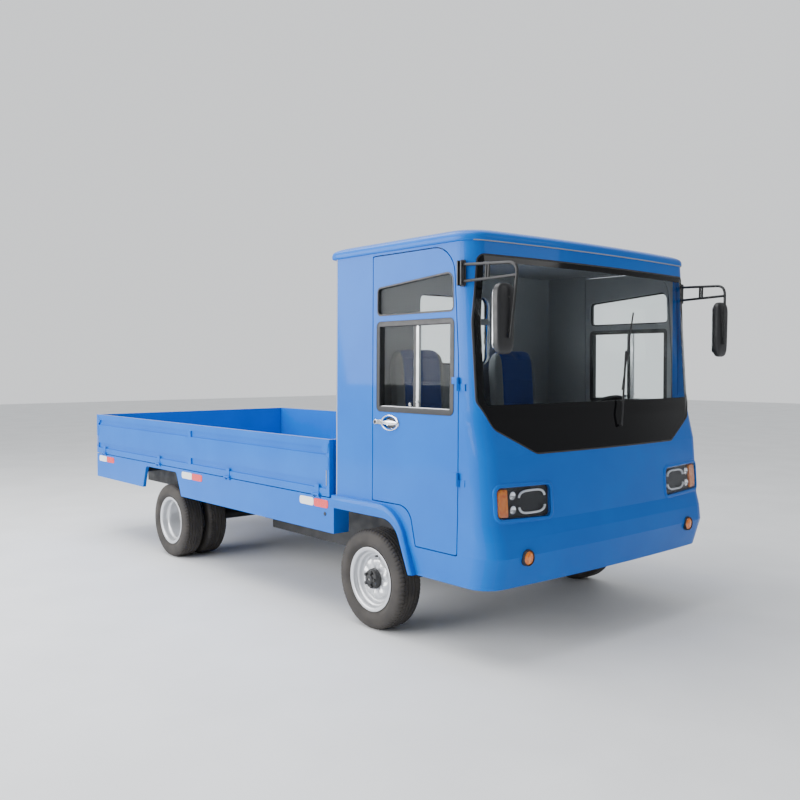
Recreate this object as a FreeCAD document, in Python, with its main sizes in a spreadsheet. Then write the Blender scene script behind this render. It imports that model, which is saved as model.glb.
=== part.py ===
"""Burden carrier: an electric flatbed truck with a closed cab and a drop-side bed.

Millimetres. +X is forward, +Y is the left side, +Z is up. The origin lies on the
ground under the middle of the truck's box. Lengths along X that belong to the cab
and the bed are written from the front axle, which stands at front_axle_x.
"""
import FreeCAD, Part
import math
import os
import re
import Sketcher
from FreeCAD import Vector

# Driving dimensions: name, value in mm or degrees, what it is
SIZES = (
    ("front_axle_x", 1414, "front axle, forward of the origin"),
    ("wheelbase", 2475, "front axle to rear axle"),
    ("tyre_radius", 280.5, "outside radius of the 165/70 R13 tyre"),
    ("tyre_width", 165, "tyre section width"),
    ("tread_width", 118, "flat tread band"),
    ("rim_seat_radius", 165, "bead seat of the 13-inch rim"),
    ("rim_flange_radius", 181, "rim edge"),
    ("rim_width", 140, "between the outer faces of the rim edges"),
    ("rim_wall", 5, "steel of the rim"),
    ("front_wheel_y", 890, "middle of the front tyre"),
    ("rear_wheel_y", 892, "middle of the outer rear tyre"),
    ("twin_spacing", 195, "between the middles of the twin tyres"),
    ("running_gap", 0.3, "clearance of pins and bearings"),
    ("moving_gap", 6, "clearance round doors and boards"),
    ("spindle_radius", 22, "front wheel spindle"),
    ("hub_radius", 56, "front hub"),
    ("drum_radius", 112, "brake drums"),
    ("kingpin_y", 780, "kingpin, off the middle plane"),
    ("kingpin_radius", 12, "kingpin"),
    ("boss_radius", 27, "axle boss round the kingpin"),
    ("boss_height", 84, "axle boss round the kingpin"),
    ("steering_arm", 140, "kingpin to ball joint"),
    ("ball_drop", 62, "ball joint under the axle line"),
    ("tie_rod_radius", 11, "tie rod"),
    ("ball_pin_radius", 7, "ball pins of the tie rod"),
    ("beam_width", 56, "front axle beam, along X"),
    ("beam_height", 60, "front axle beam, upright"),
    ("axle_tube_radius", 42, "rear axle housing"),
    ("rail_y", 495, "middle of a frame rail and of the springs"),
    ("rail_width", 60, "frame rail"),
    ("rail_height", 90, "frame rail"),
    ("rail_top", 515, "frame rail top"),
    ("rail_wall", 8, "frame rail channel wall"),
    ("rail_rear", 3830, "frame rail end, behind the front axle"),
    ("rail_front", 850, "frame rail end, ahead of the front axle"),
    ("tow_pin_radius", 12.5, "bore of the tow lug"),
    ("tow_x", 3850, "tow lug's bore, behind the front axle"),
    ("tow_z", 400, "tow lug's bore"),
    ("tow_cheek", 16, "one plate of the tow lug"),
    ("tow_gap", 40, "between the plates of the tow lug"),
    ("tow_eye", 28, "round end of the tow lug's plates"),
    ("spring_reach", 430, "axle to each spring eye"),
    ("spring_width", 58, "leaf width"),
    ("leaf_thickness", 8.5, "one leaf"),
    ("spring_seat", 326, "underside of the springs at the axles"),
    ("spring_camber", 22, "rise of the top leaf's ends"),
    ("eye_radius", 17, "spring eye"),
    ("eye_pin_radius", 8, "spring pin"),
    ("battery_height", 250, "battery box"),
    ("battery_front", 640, "battery box front end, behind the front axle"),
    ("battery_rear", 685, "battery box rear end, ahead of the rear axle"),
    ("bed_rear", 3885, "rear face of the bed, behind the front axle"),
    ("bed_front", 358, "front end of the side boards, behind the front axle"),
    ("bed_half_width", 979, "outer face of a side board"),
    ("board_thickness", 33, "side boards, tailgate and headboard"),
    ("board_bottom", 706, "lower edge of the boards"),
    ("board_top", 1045, "upper edge of the boards"),
    ("board_rail", 46, "raised rail along a board's top and bottom"),
    ("channel_height", 45, "sunk channel beside each rail"),
    ("channel_depth", 11, "sunk channel beside each rail"),
    ("board_end", 34, "plain end of a board past its channels"),
    ("middle_rib", 44, "rib across the channels"),
    ("floor_top", 735, "load floor"),
    ("floor_thickness", 24, "load floor"),
    ("headboard_rebate", 10, "step in the load floor for the headboard's foot"),
    ("bearer_height", 92, "cross bearers under the floor"),
    ("bearer_shoulder", 12, "bearer ends under the skirt's top"),
    ("bearer_width", 50, "cross bearers under the floor"),
    ("sill_width", 60, "long sills between frame and bearers"),
    ("skirt_top", 700, "skirt panels"),
    ("skirt_bottom", 494, "skirt panels"),
    ("skirt_thickness", 25, "skirt panels"),
    ("skirt_front", 314, "front end of the skirt, behind the front axle"),
    ("opening_rear", 466, "skirt's wheel opening at its foot, behind the rear axle"),
    ("opening_rear_top", 395, "skirt's wheel opening at its top, behind the rear axle"),
    ("opening_front_top", 138, "skirt's wheel opening at its top, ahead of the rear axle"),
    ("opening_front", 232, "skirt's wheel opening at its foot, ahead of the rear axle"),
    ("opening_top", 670, "skirt's wheel opening"),
    ("opening_corner", 34, "skirt's wheel opening, corner radius"),
    ("hinge_out", 9, "hinge line outside a board's face"),
    ("hinge_rise", 6, "hinge line over a board's lower edge"),
    ("hinge_pin_radius", 4, "board hinge pin"),
    ("knuckle_radius", 8, "board hinge knuckle"),
    ("knuckle_length", 44, "board hinge knuckle"),
    ("cheek_width", 12, "ears beside a board hinge knuckle"),
    ("cab_rear", 330, "cab back wall, behind the front axle"),
    ("cab_wall", 36, "whole thickness of the cab's walls and doors"),
    ("rear_corner", 40, "cab's rear corner radius"),
    ("cab_split", 714, "joint of cab front and door, ahead of the front axle"),
    ("door_rear", 38, "door's rear edge, ahead of the front axle"),
    ("door_top", 2076, "door"),
    ("door_bottom", 535, "door"),
    ("door_foot", 403, "lower rear corner of the door, ahead of the front axle"),
    ("door_step", 738, "door's lower edge over the wheel"),
    ("door_bend", 350, "bend between the door's two lower edges, ahead of the front axle"),
    ("door_top_front", 668, "door's front edge at the top"),
    ("door_corner", 150, "round top front corner of the door"),
    ("door_hinge_out", 12, "door hinge line outside the cab's side"),
    ("handle_x", 189, "centre of the door handle's cup ahead of the front axle"),
    ("handle_z", 1172, "height of the door handle"),
    ("handle_half", 73, "half length of the handle's cup"),
    ("handle_rise", 43, "half height of the handle's cup"),
    ("handle_proud", 8, "door handle outside the door's skin"),
    ("handle_bowl", 14, "depth of the cup inside the door's skin"),
    ("handle_rim", 11, "width of the cup's edge"),
    ("key_x", 66, "door lock ahead of the front axle"),
    ("key_radius", 14, "door lock"),
    ("door_hinge_radius", 9, "door hinge knuckle"),
    ("door_hinge_half", 34, "half of a door hinge's height"),
    ("door_hinge_low", 915, "lower door hinge"),
    ("door_hinge_high", 1390, "upper door hinge"),
    ("lower_window_bottom", 1232, "door's sliding window"),
    ("lower_window_top", 1718, "door's sliding window"),
    ("upper_window_bottom", 1751, "door's top window"),
    ("upper_window_rear_top", 1905, "door's top window"),
    ("upper_window_front_top", 1953, "door's top window"),
    ("window_rear", 72, "door windows, ahead of the front axle"),
    ("window_front", 676, "door windows, ahead of the front axle"),
    ("window_corner", 28, "corner radius of the windows"),
    ("glass_thickness", 6, "all glass"),
    ("screen_split", 1238, "windscreen glass over the dark panel"),
    ("glass_sink", 4, "windscreen under the cab's skin"),
    ("panel_thickness", 14, "dark panel under the windscreen"),
    ("glass_gap", 0.3, "glass to its frame"),
    ("rear_window_half", 315, "back window"),
    ("rear_window_bottom", 1487, "back window"),
    ("rear_window_top", 1937, "back window"),
    ("rear_window_corner", 56, "back window"),
    ("rear_window_sink", 12, "back window's glass under the outer face"),
    ("arch_top", 652, "wheel arch lip"),
    ("arch_front", 249, "where the arch's top and front lines meet"),
    ("arch_foot", 363, "arch lip's front end at the cab's lower edge"),
    ("arch_corner", 150, "arch lip"),
    ("flare_band", 74, "flare over the arch's top"),
    ("flare_foot", 34, "flare beside the arch's foot"),
    ("flare_corner", 235, "flare's outer corner"),
    ("flare_out", 22, "flare outside the cab's side"),
    ("roof_lip", 12, "roof edge outside the walls"),
    ("roof_overhang", 43, "roof edge behind the back wall"),
    ("roof_rise", 92, "crown over the walls"),
    ("roof_thickness", 30, "roof panel and lining"),
    ("platform_top", 694, "cab floor over the wheels"),
    ("footwell_top", 548, "cab floor ahead of the wheels"),
    ("cab_floor_thickness", 26, "cab floor"),
    ("platform_front", 352, "front edge of the platform, ahead of the front axle"),
    ("footwell_rear", 392, "rear edge of the footwell, ahead of the front axle"),
    ("seat_y", 430, "middle of each seat"),
    ("seat_width", 460, "seat"),
    ("seat_base_top", 870, "seat box"),
    ("cushion_thickness", 120, "seat cushion"),
    ("cushion_rear", -190, "seat cushion, from the front axle"),
    ("cushion_front", 300, "seat cushion, from the front axle"),
    ("back_thickness", 95, "seat back"),
    ("back_top", 1610, "seat back"),
    ("back_rake", 100, "how far the seat back leans"),
    ("dash_top", 1150, "dashboard"),
    ("dash_bottom", 860, "dashboard"),
    ("dash_depth", 190, "dashboard behind the cab's front skin"),
    ("wheel_rim_radius", 200, "steering wheel"),
    ("wheel_grip_radius", 13, "steering wheel"),
    ("wheel_x", 470, "steering wheel centre, ahead of the front axle"),
    ("wheel_z", 1190, "steering wheel centre"),
    ("column_tilt", 30, "steering column from upright, in degrees"),
    ("lamp_inner", 525, "headlamp's inner edge"),
    ("lamp_outer", 893, "headlamp's outer edge"),
    ("lamp_bottom", 716, "headlamp"),
    ("lamp_top", 884, "headlamp"),
    ("lamp_corner", 26, "headlamp corner"),
    ("marker_y", 726, "round marker lamp"),
    ("marker_z", 530, "round marker lamp"),
    ("marker_radius", 40, "round marker lamp"),
    ("marker_proud", 12, "round marker lamp outside the bumper"),
    ("wiper_radius", 6, "wiper arm"),
    ("wiper_out", 14, "wiper arm ahead of the screen"),
    ("mirror_tube_radius", 8, "mirror arm"),
    ("mirror_width", 122, "mirror head"),
    ("mirror_depth", 52, "mirror head"),
    ("mirror_top", 1867, "mirror head"),
    ("mirror_bottom", 1534, "mirror head"),
    ("mirror_x", 1015, "mirror head, ahead of the front axle"),
    ("mirror_y", 971, "mirror head"),
    ("rear_lamp_inset", 149, "middle of a rear lamp, inside the bed's side"),
    ("rear_lamp_z", 600, "rear lamp"),
    ("rear_lamp_width", 200, "rear lamp"),
    ("rear_lamp_height", 90, "rear lamp"),
    ("reflector_height", 46, "side reflectors"),
    ("reflector_thickness", 3, "side reflectors"),
    ("reflector_top", 684, "side reflectors"),
)

# Cab skin by height. Columns: level, height, front at the middle plane (ahead of the
# front axle), half width, front corner radius, sweep radius of the front in plan
CAB_LEVELS = (
    ("valance", 380, 935, 964, 125, 14000),
    ("bumper", 540, 978, 974, 130, 16000),
    ("crease", 625, 968, 973, 120, 14000),
    ("nose", 700, 951, 970, 112, 12000),
    ("waist", 1036, 936, 967, 110, 9000),
    ("cowl", 1205, 895, 967, 110, 9000),
    ("header", 2095, 832, 960, 105, 9000),
)
LEVEL_COLUMNS = ("height", "front", "half_width", "corner", "sweep")

# Windscreen opening seen from the front, right half turned over: y, z, corner radius
WINDSCREEN = (
    (608, 1036, 60),
    (869, 1167, 60),
    (940, 1302, 60),
    (940, 1700, 400),
    (909, 2030, 40),
)

# Wiper seen from the front: y, z
WIPER = {
    "pivot": (100, 1150),
    "knee": (190, 1560),
    "low": (150, 1345),
    "joint": (222, 1565),
    "high": (300, 1785),
}

# Where things stand along X, from the front axle
CROSS_MEMBERS = (-3770, -2905, -2045, -560, 420, 800)
BEARERS = (-3800, -3390, -2960, -2250, -1820, -1390, -960, -430)
BOARD_HINGES = (-3710, -2636, -1549, -483)
TAILGATE_HINGES = (-620, 0, 620)
REFLECTORS = ((-3829, -3509), (-2241, -1923), (-665, -369))

doc = FreeCAD.newDocument("burden_carrier")
sheet = doc.addObject("Spreadsheet::Sheet", "Sizes")
aliases = set()
row = 0
for name, value, note in SIZES:
    row += 1
    sheet.set("A%d" % row, str(value))
    sheet.set("B%d" % row, note)
    sheet.setAlias("A%d" % row, name)
    aliases.add(name)
for level in CAB_LEVELS:
    for column, value in zip(LEVEL_COLUMNS, level[1:]):
        row += 1
        name = level[0] + "_" + column
        sheet.set("A%d" % row, str(value))
        sheet.setAlias("A%d" % row, name)
        aliases.add(name)
doc.recompute()

WORD = re.compile(r"[a-z][a-z_0-9]*")
parts = {}


def num(formula):
    """The value of a formula of sheet names, as a plain number."""
    return float(sheet.evalExpression(str(formula)))


def bind(obj, prop, formula):
    """Tie a property to a formula of sheet names."""
    text = WORD.sub(lambda m: "Sizes." + m.group(0) if m.group(0) in aliases else m.group(0), str(formula))
    obj.setExpression(prop, text)


def place(obj, x="0", y="0", z="0", axis=None, angle=0):
    """Turn an object about an axis, then tie its position to three formulas."""
    if axis is not None:
        obj.Placement.Rotation = FreeCAD.Rotation(Vector(*axis), angle)
    for prop, formula in (("x", x), ("y", y), ("z", z)):
        bind(obj, "Placement.Base." + prop, formula)
    return obj


def ahead(formula):
    """X of a place given from the front axle."""
    return "front_axle_x + (%s)" % formula


def box(label, x, y, z, length, width, height):
    """A box from its low corner."""
    obj = doc.addObject("Part::Box", label)
    bind(obj, "Length", length)
    bind(obj, "Width", width)
    bind(obj, "Height", height)
    return place(obj, x, y, z)


def rod(label, axis, x, y, z, radius, length):
    """A cylinder from its base centre along X, Y or Z."""
    obj = doc.addObject("Part::Cylinder", label)
    bind(obj, "Radius", radius)
    bind(obj, "Height", length)
    turn = {"X": ((0, 1, 0), 90), "Y": ((1, 0, 0), -90), "Z": (None, 0)}[axis]
    return place(obj, x, y, z, *turn)


def fuse(label, *pieces):
    """Join pieces into one."""
    obj = doc.addObject("Part::MultiFuse", label)
    obj.Shapes = list(pieces)
    return obj


def group(label, *pieces):
    """Several solids that do not touch, as one sub-part."""
    obj = doc.addObject("Part::Compound", label)
    obj.Links = list(pieces)
    return obj


def solid(label, shape):
    """A shape worked out with Part's own functions."""
    obj = doc.addObject("Part::Feature", label)
    obj.Shape = shape
    return obj


def keep(obj, node=None):
    """Hand an object in as a sub-part."""
    obj.Label = node or obj.Label
    parts[obj.Label] = obj
    return obj


def sketch_outline(body, plane, label, vertices):
    """A closed sketch. Each vertex is (u, v), or (u, v, radius) where the side that
    leaves it is an arc that bulges to the right of the way."""
    sketch = body.newObject("Sketcher::SketchObject", label)
    origin = [f for f in body.Origin.OriginFeatures if f.Role == plane][0]
    sketch.AttachmentSupport = [(origin, "")]
    sketch.MapMode = "FlatFace"
    points = [Vector(num(v[0]), num(v[1]), 0) for v in vertices]
    ends = []
    for i, vertex in enumerate(vertices):
        a, b = points[i], points[(i + 1) % len(points)]
        if len(vertex) == 2:
            sketch.addGeometry(Part.LineSegment(a, b), False)
            ends.append((1, 2))
            continue
        radius = num(vertex[2])
        chord = b - a
        left = Vector(-chord.y, chord.x, 0).normalize()
        centre = (a + b) * 0.5 + left * math.sqrt(radius ** 2 - (chord.Length / 2) ** 2)
        start = math.atan2(a.y - centre.y, a.x - centre.x)
        stop = math.atan2(b.y - centre.y, b.x - centre.x)
        circle = Part.Circle(centre, Vector(0, 0, 1), radius)
        sketch.addGeometry(Part.ArcOfCircle(circle, start, stop), False)
        ends.append((1, 2))
    for i, vertex in enumerate(vertices):
        before = (i - 1) % len(vertices)
        sketch.addConstraint(Sketcher.Constraint("Coincident", before, ends[before][1], i, ends[i][0]))
        for kind, formula, value in (("DistanceX", vertex[0], points[i].x), ("DistanceY", vertex[1], points[i].y)):
            n = sketch.addConstraint(Sketcher.Constraint(kind, -1, 1, i, ends[i][0], value))
            bind(sketch, "Constraints[%d]" % n, formula)
        if len(vertex) == 3:
            n = sketch.addConstraint(Sketcher.Constraint("Radius", i, num(vertex[2])))
            bind(sketch, "Constraints[%d]" % n, vertex[2])
    return sketch


def turned(label, vertices, x, y, z):
    """A body of revolution about a line along Y. Vertices are (along the axis, radius)."""
    body = doc.addObject("PartDesign::Body", label)
    sketch = sketch_outline(body, "YZ_Plane", label + "_profile", vertices)
    spin = body.newObject("PartDesign::Revolution", label + "_turned")
    spin.Profile = sketch
    spin.ReferenceAxis = (sketch, ["H_Axis"])
    spin.Angle = 360
    sketch.Visibility = False
    return place(body, x, y, z)


def rounded(points):
    """A closed wire through (a, b, radius) corners, given as vectors with a radius."""
    edges = []
    trimmed = []
    count = len(points)
    for i in range(count):
        here, radius = points[i]
        before, after = points[i - 1][0], points[(i + 1) % count][0]
        to_before = (before - here).normalize()
        to_after = (after - here).normalize()
        if not radius:
            trimmed.append((here, None, here))
            continue
        half = to_before.getAngle(to_after) / 2
        run = radius / math.tan(half)
        centre = here + (to_before + to_after).normalize() * (radius / math.sin(half))
        middle = centre + (here - centre).normalize() * radius
        trimmed.append((here + to_before * run, middle, here + to_after * run))
    for i in range(count):
        start, middle, end = trimmed[i]
        if middle is not None:
            edges.append(Part.Arc(start, middle, end).toShape())
        following = trimmed[(i + 1) % count][0]
        if (following - end).Length > 1e-6:
            edges.append(Part.LineSegment(end, following).toShape())
    return Part.Wire(edges)


def side_prism(corners, y_low, y_high):
    """A prism along Y with an outline of (x from the front axle, z, radius)."""
    axle = num("front_axle_x")
    points = [(Vector(axle + x, y_low, z), radius) for x, z, radius in corners]
    return Part.Face(rounded(points)).extrude(Vector(0, y_high - y_low, 0))


def front_prism(corners, x_low, x_high):
    """A prism along X with an outline of (y, z, radius)."""
    axle = num("front_axle_x")
    points = [(Vector(axle + x_low, y, z), radius) for y, z, radius in corners]
    return Part.Face(rounded(points)).extrude(Vector(x_high - x_low, 0, 0))


def slab(x_low, x_high, y_low, y_high, z_low, z_high):
    """A plain box shape, x from the front axle."""
    corner = Vector(num("front_axle_x") + x_low, y_low, z_low)
    return Part.makeBox(x_high - x_low, y_high - y_low, z_high - z_low, corner)


# Wheels

def tyre(label, x, y):
    """Tyre: flat tread, round shoulders and sidewalls, seated on the rim."""
    shoulder = "tread_width / 2"
    side = "tyre_width / 2"
    bead = "rim_seat_radius + running_gap"
    heel = "(rim_width / 2 - rim_wall - running_gap)"
    edge = "rim_flange_radius + running_gap"
    crown = "tyre_radius"
    vertices = (
        ("-" + heel, bead),
        (heel, bead),
        (heel, edge, "(tyre_radius - rim_flange_radius) * 1.6"),
        (side, "rim_flange_radius + 46", "(tyre_radius - rim_flange_radius) * 0.62"),
        (shoulder, crown),
        ("-" + shoulder, crown, "(tyre_radius - rim_flange_radius) * 0.62"),
        ("-" + side, "rim_flange_radius + 46", "(tyre_radius - rim_flange_radius) * 1.6"),
        ("-" + heel, edge),
    )
    return turned(label, vertices, x, y, "tyre_radius")


def front_rim(label, side):
    """Front wheel: drop-centre barrel, dished disc and a hub round the spindle."""
    s = side
    inner = "spindle_radius + running_gap"
    vertices = [
        ("-rim_width / 2", "rim_flange_radius"),
        ("-rim_width / 2 + rim_wall", "rim_flange_radius"),
        ("-rim_width / 2 + rim_wall", "rim_seat_radius"),
        ("rim_width / 2 - rim_wall", "rim_seat_radius"),
        ("rim_width / 2 - rim_wall", "rim_flange_radius"),
        ("rim_width / 2", "rim_flange_radius"),
        ("rim_width / 2 - 4", "rim_seat_radius - 9"),
        ("rim_width / 2 - 34", "rim_seat_radius - 16"),
        ("rim_width / 2 - 22", "hub_radius + 28"),
        ("rim_width / 2 - 26", "hub_radius"),
        ("rim_width / 2 + 12", "hub_radius - 10"),
        ("rim_width / 2 + 12", inner),
        ("-rim_width / 2 + 24", inner),
        ("-rim_width / 2 + 24", "drum_radius - 6"),
        ("rim_width / 2 - 38", "drum_radius - 6"),
        ("rim_width / 2 - 42", "rim_seat_radius - 18"),
        ("-rim_width / 2 + 4", "rim_seat_radius - 9"),
    ]
    if s == "-":
        vertices = [("-(%s)" % v[0], v[1]) for v in reversed(vertices)]
    return turned(label, vertices, "front_axle_x", s + "front_wheel_y", "tyre_radius")


def rear_rims(label, side):
    """Twin rims back to back on one hub, with the brake drum behind them."""
    s = side
    out = "rear_wheel_y + rim_width / 2"
    low = "rear_wheel_y - twin_spacing - rim_width / 2"
    meet = "(rear_wheel_y - twin_spacing / 2)"
    barrel = "rim_seat_radius - 10"
    stub = "spindle_radius + 8 + running_gap"
    vertices = [
        (low, "rim_flange_radius"),
        (low + " + rim_wall", "rim_flange_radius"),
        (low + " + rim_wall", "rim_seat_radius"),
        (low + " + rim_width - rim_wall", "rim_seat_radius"),
        (low + " + rim_width - rim_wall", "rim_flange_radius"),
        (low + " + rim_width", "rim_flange_radius"),
        (meet + " - 8", barrel),
        (meet + " + 8", barrel),
        (out + " - rim_width", "rim_flange_radius"),
        (out + " - rim_width + rim_wall", "rim_flange_radius"),
        (out + " - rim_width + rim_wall", "rim_seat_radius"),
        (out + " - rim_wall", "rim_seat_radius"),
        (out + " - rim_wall", "rim_flange_radius"),
        (out, "rim_flange_radius"),
        (out + " - 6", barrel),
        (meet + " + 30", barrel),
        (meet + " + 9", "drum_radius + 16"),
        (meet + " + 9", "hub_radius"),
        (meet + " + 66", "hub_radius - 14"),
        (meet + " + 66", stub),
        (meet + " - 150", stub),
        (meet + " - 150", "drum_radius"),
        (meet + " - 9", "drum_radius"),
        (meet + " - 9", "drum_radius + 16"),
        (meet + " - 30", barrel),
        (low + " + 6", barrel),
    ]
    if s == "-":
        vertices = [("-(%s)" % v[0], v[1]) for v in reversed(vertices)]
    return turned(label, vertices, "front_axle_x - wheelbase", "0", "tyre_radius")


for side_name, s in (("left", ""), ("right", "-")):
    keep(tyre("front_tyre_" + side_name, "front_axle_x", s + "front_wheel_y"))
    keep(front_rim("front_rim_" + side_name, s))
    outer = tyre("rear_outer_tyre_" + side_name, "front_axle_x - wheelbase", s + "rear_wheel_y")
    inner = tyre("rear_inner_tyre_" + side_name, "front_axle_x - wheelbase",
                 s + "(rear_wheel_y - twin_spacing)")
    keep(group("rear_tyres_" + side_name, outer, inner))
    keep(rear_rims("rear_rims_" + side_name, s))


# Axles, steering and springs

def front_axle():
    """Beam between two kingpin bosses, with a pad under each spring."""
    beam = box("beam", "front_axle_x - beam_width / 2", "-kingpin_y", "tyre_radius - beam_height / 2",
               "beam_width", "kingpin_y * 2", "beam_height")
    pieces = [beam]
    for s in ("", "-"):
        pieces.append(rod("boss", "Z", "front_axle_x", s + "kingpin_y", "tyre_radius - boss_height / 2",
                          "boss_radius", "boss_height"))
        pieces.append(rod("kingpin", "Z", "front_axle_x", s + "kingpin_y",
                          "tyre_radius - boss_height / 2 - 36", "kingpin_radius", "boss_height + 72"))
        pieces.append(box("pad", "front_axle_x - 60", s + "rail_y - spring_width / 2",
                          "tyre_radius + beam_height / 2 - 1", "120", "spring_width",
                          "spring_seat - tyre_radius - beam_height / 2 + 1"))
    return fuse("front_axle_beam", *pieces)


def knuckle(side):
    """Steering knuckle: two ears on the kingpin, a spindle outward, an arm rearward."""
    s = 1 if side == "left" else -1
    axle, ky, kz = num("front_axle_x"), num("kingpin_y"), num("tyre_radius")
    boss, ear, gap = num("boss_height"), 24.0, 3.0
    ear_radius = num("boss_radius") + 3
    web_in = num("boss_radius") + 5
    web = 20.0
    height = boss + 2 * gap + 2 * ear
    bore = num("kingpin_radius + running_gap")
    shape = Part.makeBox(70, web, height, Vector(axle - 35, ky + web_in, kz - height / 2))
    for z in (kz - height / 2, kz + height / 2 - ear):
        shape = shape.fuse(Part.makeCylinder(ear_radius, ear, Vector(axle, ky, z)))
        shape = shape.fuse(Part.makeBox(2 * ear_radius, web_in + 1, ear, Vector(axle - ear_radius, ky, z)))
    shape = shape.fuse(Part.makeCylinder(num("drum_radius") - 2, 6, Vector(axle, ky + web_in + web, kz),
                                         Vector(0, 1, 0)))
    spindle_end = num("front_wheel_y + rim_width / 2 + 6")
    shape = shape.fuse(Part.makeCylinder(num("spindle_radius"), spindle_end - ky - web_in,
                                         Vector(axle, ky + web_in, kz), Vector(0, 1, 0)))
    ball_z = kz - num("ball_drop")
    arm_x = axle - num("steering_arm")
    shape = shape.fuse(Part.makeBox(num("steering_arm") - 20, 24, 16, Vector(arm_x, ky - 12, ball_z - 8)))
    shape = shape.fuse(Part.makeCylinder(15, 16, Vector(arm_x, ky, ball_z - 8)))
    shape = shape.cut(Part.makeCylinder(bore, height + 2, Vector(axle, ky, kz - height / 2 - 1)))
    pin = num("ball_pin_radius")
    shape = shape.fuse(Part.makeCylinder(pin, 44, Vector(arm_x, ky, ball_z - 8 - 28)))
    shape = shape.removeSplitter()
    if s < 0:
        shape = shape.mirror(Vector(0, 0, 0), Vector(0, 1, 0))
    return solid("knuckle_" + side, shape)


def tie_rod():
    """Rod between the two steering arms, with an eye on each ball pin."""
    x = num("front_axle_x - steering_arm")
    z = num("tyre_radius - ball_drop") - 8 - 5 - 18
    ky = num("kingpin_y")
    bar = Part.makeCylinder(num("tie_rod_radius"), 2 * ky - 30, Vector(x, -ky + 15, z + 9), Vector(0, 1, 0))
    for s in (1, -1):
        bar = bar.fuse(Part.makeCylinder(18, 18, Vector(x, s * ky, z)))
    for s in (1, -1):
        bore = num("ball_pin_radius") + (num("running_gap") if s > 0 else 1.0)
        bar = bar.cut(Part.makeCylinder(bore, 20, Vector(x, s * ky, z - 1)))
    return solid("tie_rod", bar.removeSplitter())


def drive_axle():
    """Axle tube with final drive, the motor ahead of it, stubs and brake plates."""
    x, z = "front_axle_x - wheelbase", "tyre_radius"
    tube_end = "(rear_wheel_y - twin_spacing / 2 - 156)"
    pieces = [
        rod("tube", "Y", x, "-" + tube_end, z, "axle_tube_radius", tube_end + " * 2"),
        rod("final_drive", "X", x + " - 95", "0", z, "105", "190"),
        rod("motor", "X", x + " + 95", "0", z + " + 20", "96", "330"),
    ]
    for s in ("", "-"):
        stub_y = tube_end if s == "" else "-(%s + 206)" % tube_end
        plate_y = tube_end + " - 8" if s == "" else "-(%s)" % tube_end
        pieces.append(rod("stub", "Y", x, stub_y, z, "spindle_radius + 8", "206"))
        pieces.append(rod("brake_plate", "Y", x, plate_y, z, "drum_radius + 4", "8"))
        pieces.append(box("spring_pad", x + " - 60", s + "rail_y - spring_width / 2",
                          z + " + axle_tube_radius - 6", "120", "spring_width", "spring_seat - tyre_radius - axle_tube_radius + 6"))
    return fuse("drive_axle", *pieces)


def leaf_springs(x):
    """Four stacked leaves on one camber under a rail, the top one rolled into two eyes."""
    reach, camber, t = num("spring_reach"), num("spring_camber"), num("leaf_thickness")
    seat, width, eye = num("spring_seat"), num("spring_width"), num("eye_radius")
    radius = (reach ** 2 + camber ** 2) / (2 * camber)
    centre = seat + 4 * t + radius
    y = num("rail_y") - width / 2

    def arc(half, r):
        drop = math.sqrt(r ** 2 - half ** 2)
        return (Vector(x - half, y, centre - drop), Vector(x, y, centre - r), Vector(x + half, y, centre - drop))

    shape = None
    for number, share in enumerate((1.0, 0.8, 0.6, 0.4)):
        upper = arc(reach * share, radius + number * t)
        lower = arc(reach * share, radius + (number + 1) * t)
        edges = [Part.Arc(*upper).toShape(), Part.LineSegment(upper[2], lower[2]).toShape(),
                 Part.Arc(*reversed(lower)).toShape(), Part.LineSegment(lower[0], upper[0]).toShape()]
        leaf = Part.Face(Part.Wire(edges)).extrude(Vector(0, width, 0))
        shape = leaf if shape is None else shape.fuse(leaf)
    hole = num("eye_pin_radius + running_gap")
    for end in (-reach, reach):
        base = Vector(x + end, y, eye_height())
        shape = shape.fuse(Part.makeCylinder(eye, width, base, Vector(0, 1, 0)))
        shape = shape.cut(Part.makeCylinder(hole, width, base, Vector(0, 1, 0)))
    shape = shape.removeSplitter()
    return [shape, shape.mirror(Vector(0, 0, 0), Vector(0, 1, 0))]


def eye_height():
    """Z of the spring eyes."""
    return num("spring_seat + 4 * leaf_thickness + spring_camber + eye_radius - leaf_thickness")


def floor_ends():
    """X of the load floor's rear and front edges, from the front axle."""
    return -num("bed_rear - board_thickness - moving_gap"), -num("bed_front") - 4


def sills():
    """Two long sills on the rails, which carry the bed's cross bearers."""
    rear, front = floor_ends()
    half, rail, low = num("sill_width") / 2, num("rail_y"), num("rail_top")
    high = num("floor_top - floor_thickness - bearer_height")
    return [slab(rear + 20, front - 40, y - half, y + half, low, high) for y in (-rail, rail)]


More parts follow.
